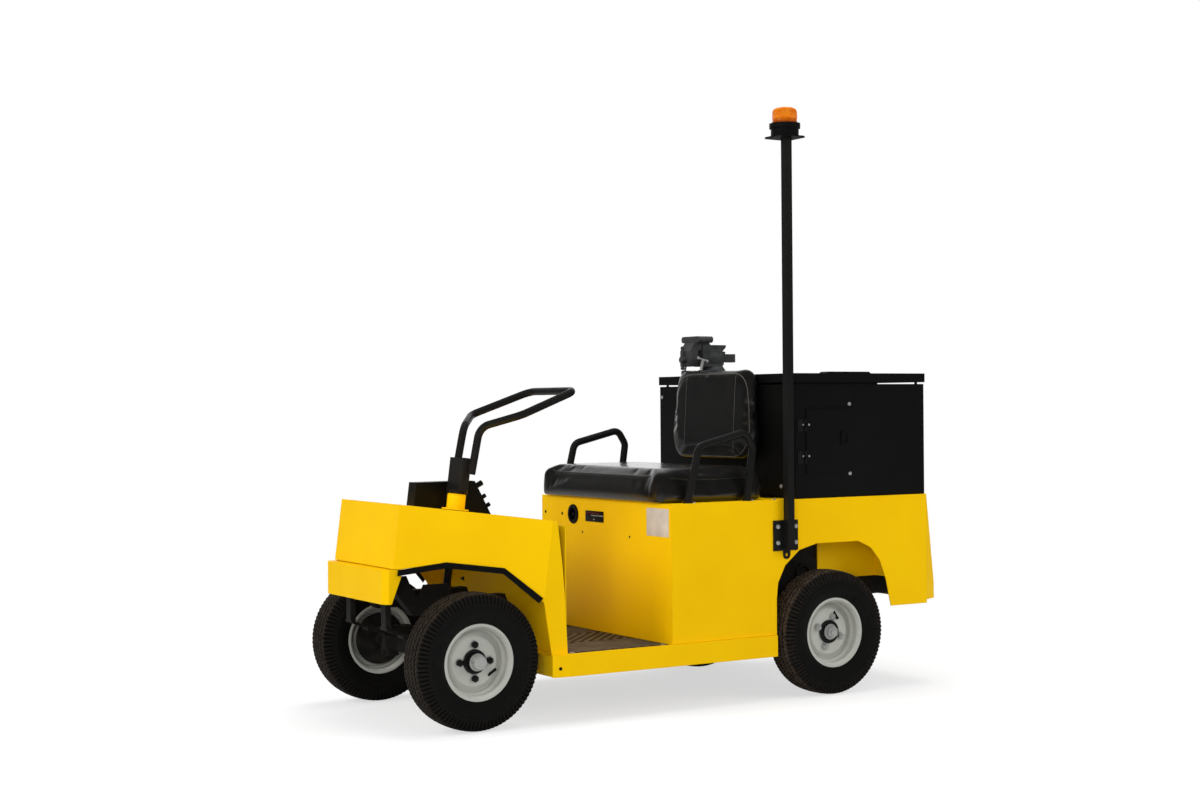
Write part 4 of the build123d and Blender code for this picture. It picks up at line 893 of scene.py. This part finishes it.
# %% Herringbone mat
mat_low, mat_high = (Vector(p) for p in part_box("floor_mat"))
rib_pitch = 0.036
rib_foot, rib_top, rib_height = 0.0150, 0.0115, 0.0022
margin = 0.012
band = (mat_high.x - mat_low.x - 2 * margin) / 4
maker = bmesh.new()
for strip in range(4):
    x0 = mat_low.x + margin + strip * band + 0.002
    x1 = x0 + band - 0.004
    slant = 1 if strip % 2 else -1
    run = x1 - x0
    y0, y1 = mat_low.y + margin, mat_high.y - margin
    start = y0 - run
    while start < y1 + run:
        ends = []
        for x in (x0, x1):
            y = start + (x - x0 if slant > 0 else x1 - x)
            ends.append(Vector((x, y, 0)))
        first, last = ends
        keep = [0.0, 1.0]
        for limit, sign in ((y0, 1), (y1, -1)):
            a, b = sign * (first.y - limit), sign * (last.y - limit)
            if a < 0 and b < 0:
                keep = None
                break
            if a < 0 or b < 0:
                cut = a / (a - b)
                keep = [max(keep[0], cut), keep[1]] if a < 0 else [keep[0], min(keep[1], cut)]
        if keep and keep[1] - keep[0] > 0.06:
            p, q = first.lerp(last, keep[0]), first.lerp(last, keep[1])
            across = (q - p).normalized().cross(Vector((0, 0, 1)))
            rows = []
            for width, height in ((rib_foot, -0.0004), (rib_top, rib_height)):
                level = Vector((0, 0, mat_high.z + height))
                rows.append([maker.verts.new(e + level + across * s * width / 2)
                             for e, s in ((p, -1), (q, -1), (q, 1), (p, 1))])
            maker.faces.new(rows[1])
            for k in range(4):
                maker.faces.new((rows[0][k], rows[0][(k + 1) % 4], rows[1][(k + 1) % 4], rows[1][k]))
        start += rib_pitch
# The ribs wear the pale rib rubber: worn colour and painted highlight in one
ribs = piece_from(maker, "mat_ribs", rib_rubber_worn_and_highlit, "chassis", 30)
print("mat rib faces", len(ribs.data.polygons))

# %% [markdown]
# The beacon's lens is moulded with upright flutes. It is spun with four steps to a flute, and two of
# the four are drawn in a little, the same trick as the tyre's shoulder.

# %% Beacon lens
lens_low, lens_high = (Vector(p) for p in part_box("beacon_lens"))
lens_axis = Vector(((lens_low.x + lens_high.x) / 2, (lens_low.y + lens_high.y) / 2, lens_low.z))
tall = (lens_high.z - lens_low.z) / MM
maker = bmesh.new()
flutes = 36
lens_section = [(0.2, 0), (0.2, 41.6), (6, 41.6), (7, 40.6), (14, 40.4), (15, 41.4), (tall - 16, 40.6),
                (tall - 8, 37.5), (tall - 3, 30), (tall - 0.6, 18), (tall - 0.1, 0)]
made = lathe(maker, lens_section, lens_axis, (0, 0, 1), flutes * 4)
for vert in made:
    offset = vert.co - lens_axis
    step = round(math.atan2(offset.y, offset.x) / (2 * math.pi) * flutes * 4) % 4
    if 0.015 < offset.z < (tall - 4) * MM and step in (0, 1):
        vert.co.x -= offset.x * 0.045
        vert.co.y -= offset.y * 0.045
lens = piece_from(maker, "fluted_lens", lens_finish, "chassis", 25)
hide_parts("beacon_lens")
print("lens faces", len(lens.data.polygons))

# %% [markdown]
# The vise's slide runs in a round barrel, cast in one with the body, which the plain solid leaves out.
# The parts that a hand or a spanner turns are bright: the two lock levers of the swivel base and the
# bolt in the bar's end, which moves with the jaw.

# %% Bright parts of the vise
vise_x, bar_z = -200, 1138.5
lever_ends = ((1177, 1137), (1214, 1126))
maker = bmesh.new()
lathe(maker, [(0, 23), (0, 34), (3, 37), (30, 39), (56, 39), (60, 36), (62, 33), (62, 23), (0, 23)],
      at(vise_x, 1236, bar_z), (0, 1, 0), 40)
piece_from(maker, "vise_barrel", vise_enamel, "lid", 30)
maker = bmesh.new()
lugs = bmesh.new()
for side in (-1, 1):
    x = vise_x + side * 52
    plate(lugs, at(x - 14, 1180, 1073.6), at(x + 14, 1250, 1094), 4)
    tube(maker, [at(x, 1187, 1092), at(x, 1196, 1131)], 5, sides=14)
    tube(maker, [at(x, *end) for end in lever_ends], 3.6, sides=12)
    for end in lever_ends:
        bmesh.ops.create_uvsphere(maker, u_segments=14, v_segments=8, radius=5.6 * MM,
                                  matrix=Matrix.Translation(at(x, *end)))
piece_from(lugs, "vise_lock_lugs", vise_enamel, "lid", 40)
piece_from(maker, "vise_lock_levers", bright_steel, "lid", 40)
maker = bmesh.new()
stud(maker, at(vise_x, 1365.4, bar_z), (0, 1, 0), 14, 4.5, 16, 1.6)
piece_from(maker, "vise_bar_bolt", bright_steel, "vise_slide", 30)
print("vise dressed")


# %% [markdown]
# The machine stands in a light tent: big soft boxes from the front, the side and above, and one
# near the camera that reaches into the footwell. None of them shows in the gloss. What shines on
# the paint is the white backdrop behind the machine, so the world is bright only that way round.


# %% Lamps and world
def soft_light(name, place, aim, size, watts):
    """A square soft box that points at aim."""
    data = bpy.data.lights.new(name, "AREA")
    data.size = size
    data.energy = watts
    lamp = bpy.data.objects.new(name, data)
    lamp.location = place
    lamp.rotation_euler = (Vector(aim) - Vector(place)).to_track_quat("-Z", "Y").to_euler()
    bpy.context.collection.objects.link(lamp)
    # The gloss on the paint comes from the backdrop, as it does round a real light tent
    lamp.visible_glossy = False
    return lamp


aim = (0, 0, 0.6)
soft_light("key_soft_box", (0.3, -4.8, 3.2), aim, 2.6, 135)
soft_light("side_soft_box", (3.6, 3.0, 2.7), aim, 2.6, 90)
soft_light("top_soft_box", (-0.4, 0.6, 4.6), aim, 3.0, 172)
soft_light("fill_soft_box", (5.0, -4.3, 1.3), aim, 2.4, 116)

world = bpy.data.worlds.new("studio")
bpy.context.scene.world = world
world.use_nodes = True
tree = world.node_tree
path = add(tree, "LightPath").outputs
seen = add(tree, "Math", {"operation": "MAXIMUM"},
           {0: path["Is Camera Ray"], 1: path["Is Transmission Ray"]})
# The white backdrop stands behind the object; behind the camera the studio is dark
behind = add(tree, "VectorMath", {"operation": "DOT_PRODUCT", 1: (-back.x, -back.y, 0)},
             {0: add(tree, "TexCoord").outputs["Generated"]}).outputs["Value"]
mirrored = add(tree, "MapRange", {"interpolation_type": "SMOOTHSTEP", "From Min": 0.55, "From Max": 0.97,
                                  "To Min": 0.04, "To Max": 1.1}, {"Value": behind})
unseen = add(tree, "Mix", {2: 0.52}, {0: path["Is Glossy Ray"], 3: mirrored.outputs["Result"]})
strength = add(tree, "Mix", {3: 1.0}, {0: seen.outputs[0], 2: unseen.outputs[0]})
tree.links.new(strength.outputs[0], tree.nodes["Background"].inputs["Strength"])
tree.nodes["Background"].inputs["Color"].default_value = colour("#FFFFFF")
print("lamps", [light.name for light in bpy.data.lights])

# %% [markdown]
# The floor is a sheet of white paper. Near the machine it shows the shadow, and further off a share
# of plain white takes over, so that paper and backdrop meet without a line.


# %% Floor
def pale_floor():
    """A wide floor that takes the shadow near the object and is plain white further off."""
    maker = bmesh.new()
    bmesh.ops.create_grid(maker, x_segments=1, y_segments=1, size=60)
    mesh = bpy.data.meshes.new("studio_floor")
    maker.to_mesh(mesh)
    maker.free()
    floor = bpy.data.objects.new("studio_floor", mesh)
    bpy.context.collection.objects.link(floor)
    material, tree, shader, place = new_finish("white_studio_floor")
    # The floor throws less light back up than the camera sees on it, as a glossy paper sweep does
    sheet = add(tree, "Mix", {"data_type": "RGBA", 6: colour("#9E9E9E"), 7: colour("#EEEEEE")},
                {0: add(tree, "LightPath").outputs["Is Camera Ray"]})
    tree.links.new(sheet.outputs[2], shader.inputs["Base Color"])
    shader.inputs["Roughness"].default_value = 0.9
    shader.inputs["Specular IOR Level"].default_value = 0.1
    glow = add(tree, "Emission", {"Strength": 1.0})
    distance = add(tree, "VectorMath", {"operation": "LENGTH"}, {0: place}).outputs["Value"]
    share = add(tree, "MapRange", {"interpolation_type": "SMOOTHSTEP", "From Min": 1.2, "From Max": 3.6,
                                   "To Min": 0.62, "To Max": 1.0}, {"Value": distance}).outputs["Result"]
    camera_only = add(tree, "Math", {"operation": "MULTIPLY"},
                      {0: share, 1: add(tree, "LightPath").outputs["Is Camera Ray"]})
    mixed = add(tree, "MixShader", links={0: camera_only.outputs[0], 1: shader.outputs[0],
                                          2: glow.outputs[0]})
    tree.links.new(mixed.outputs[0], tree.nodes["Material Output"].inputs["Surface"])
    floor.data.materials.append(material)
    return floor


pale_floor()
scene = bpy.context.scene
scene.view_settings.view_transform = "Standard"
print("stage ready")
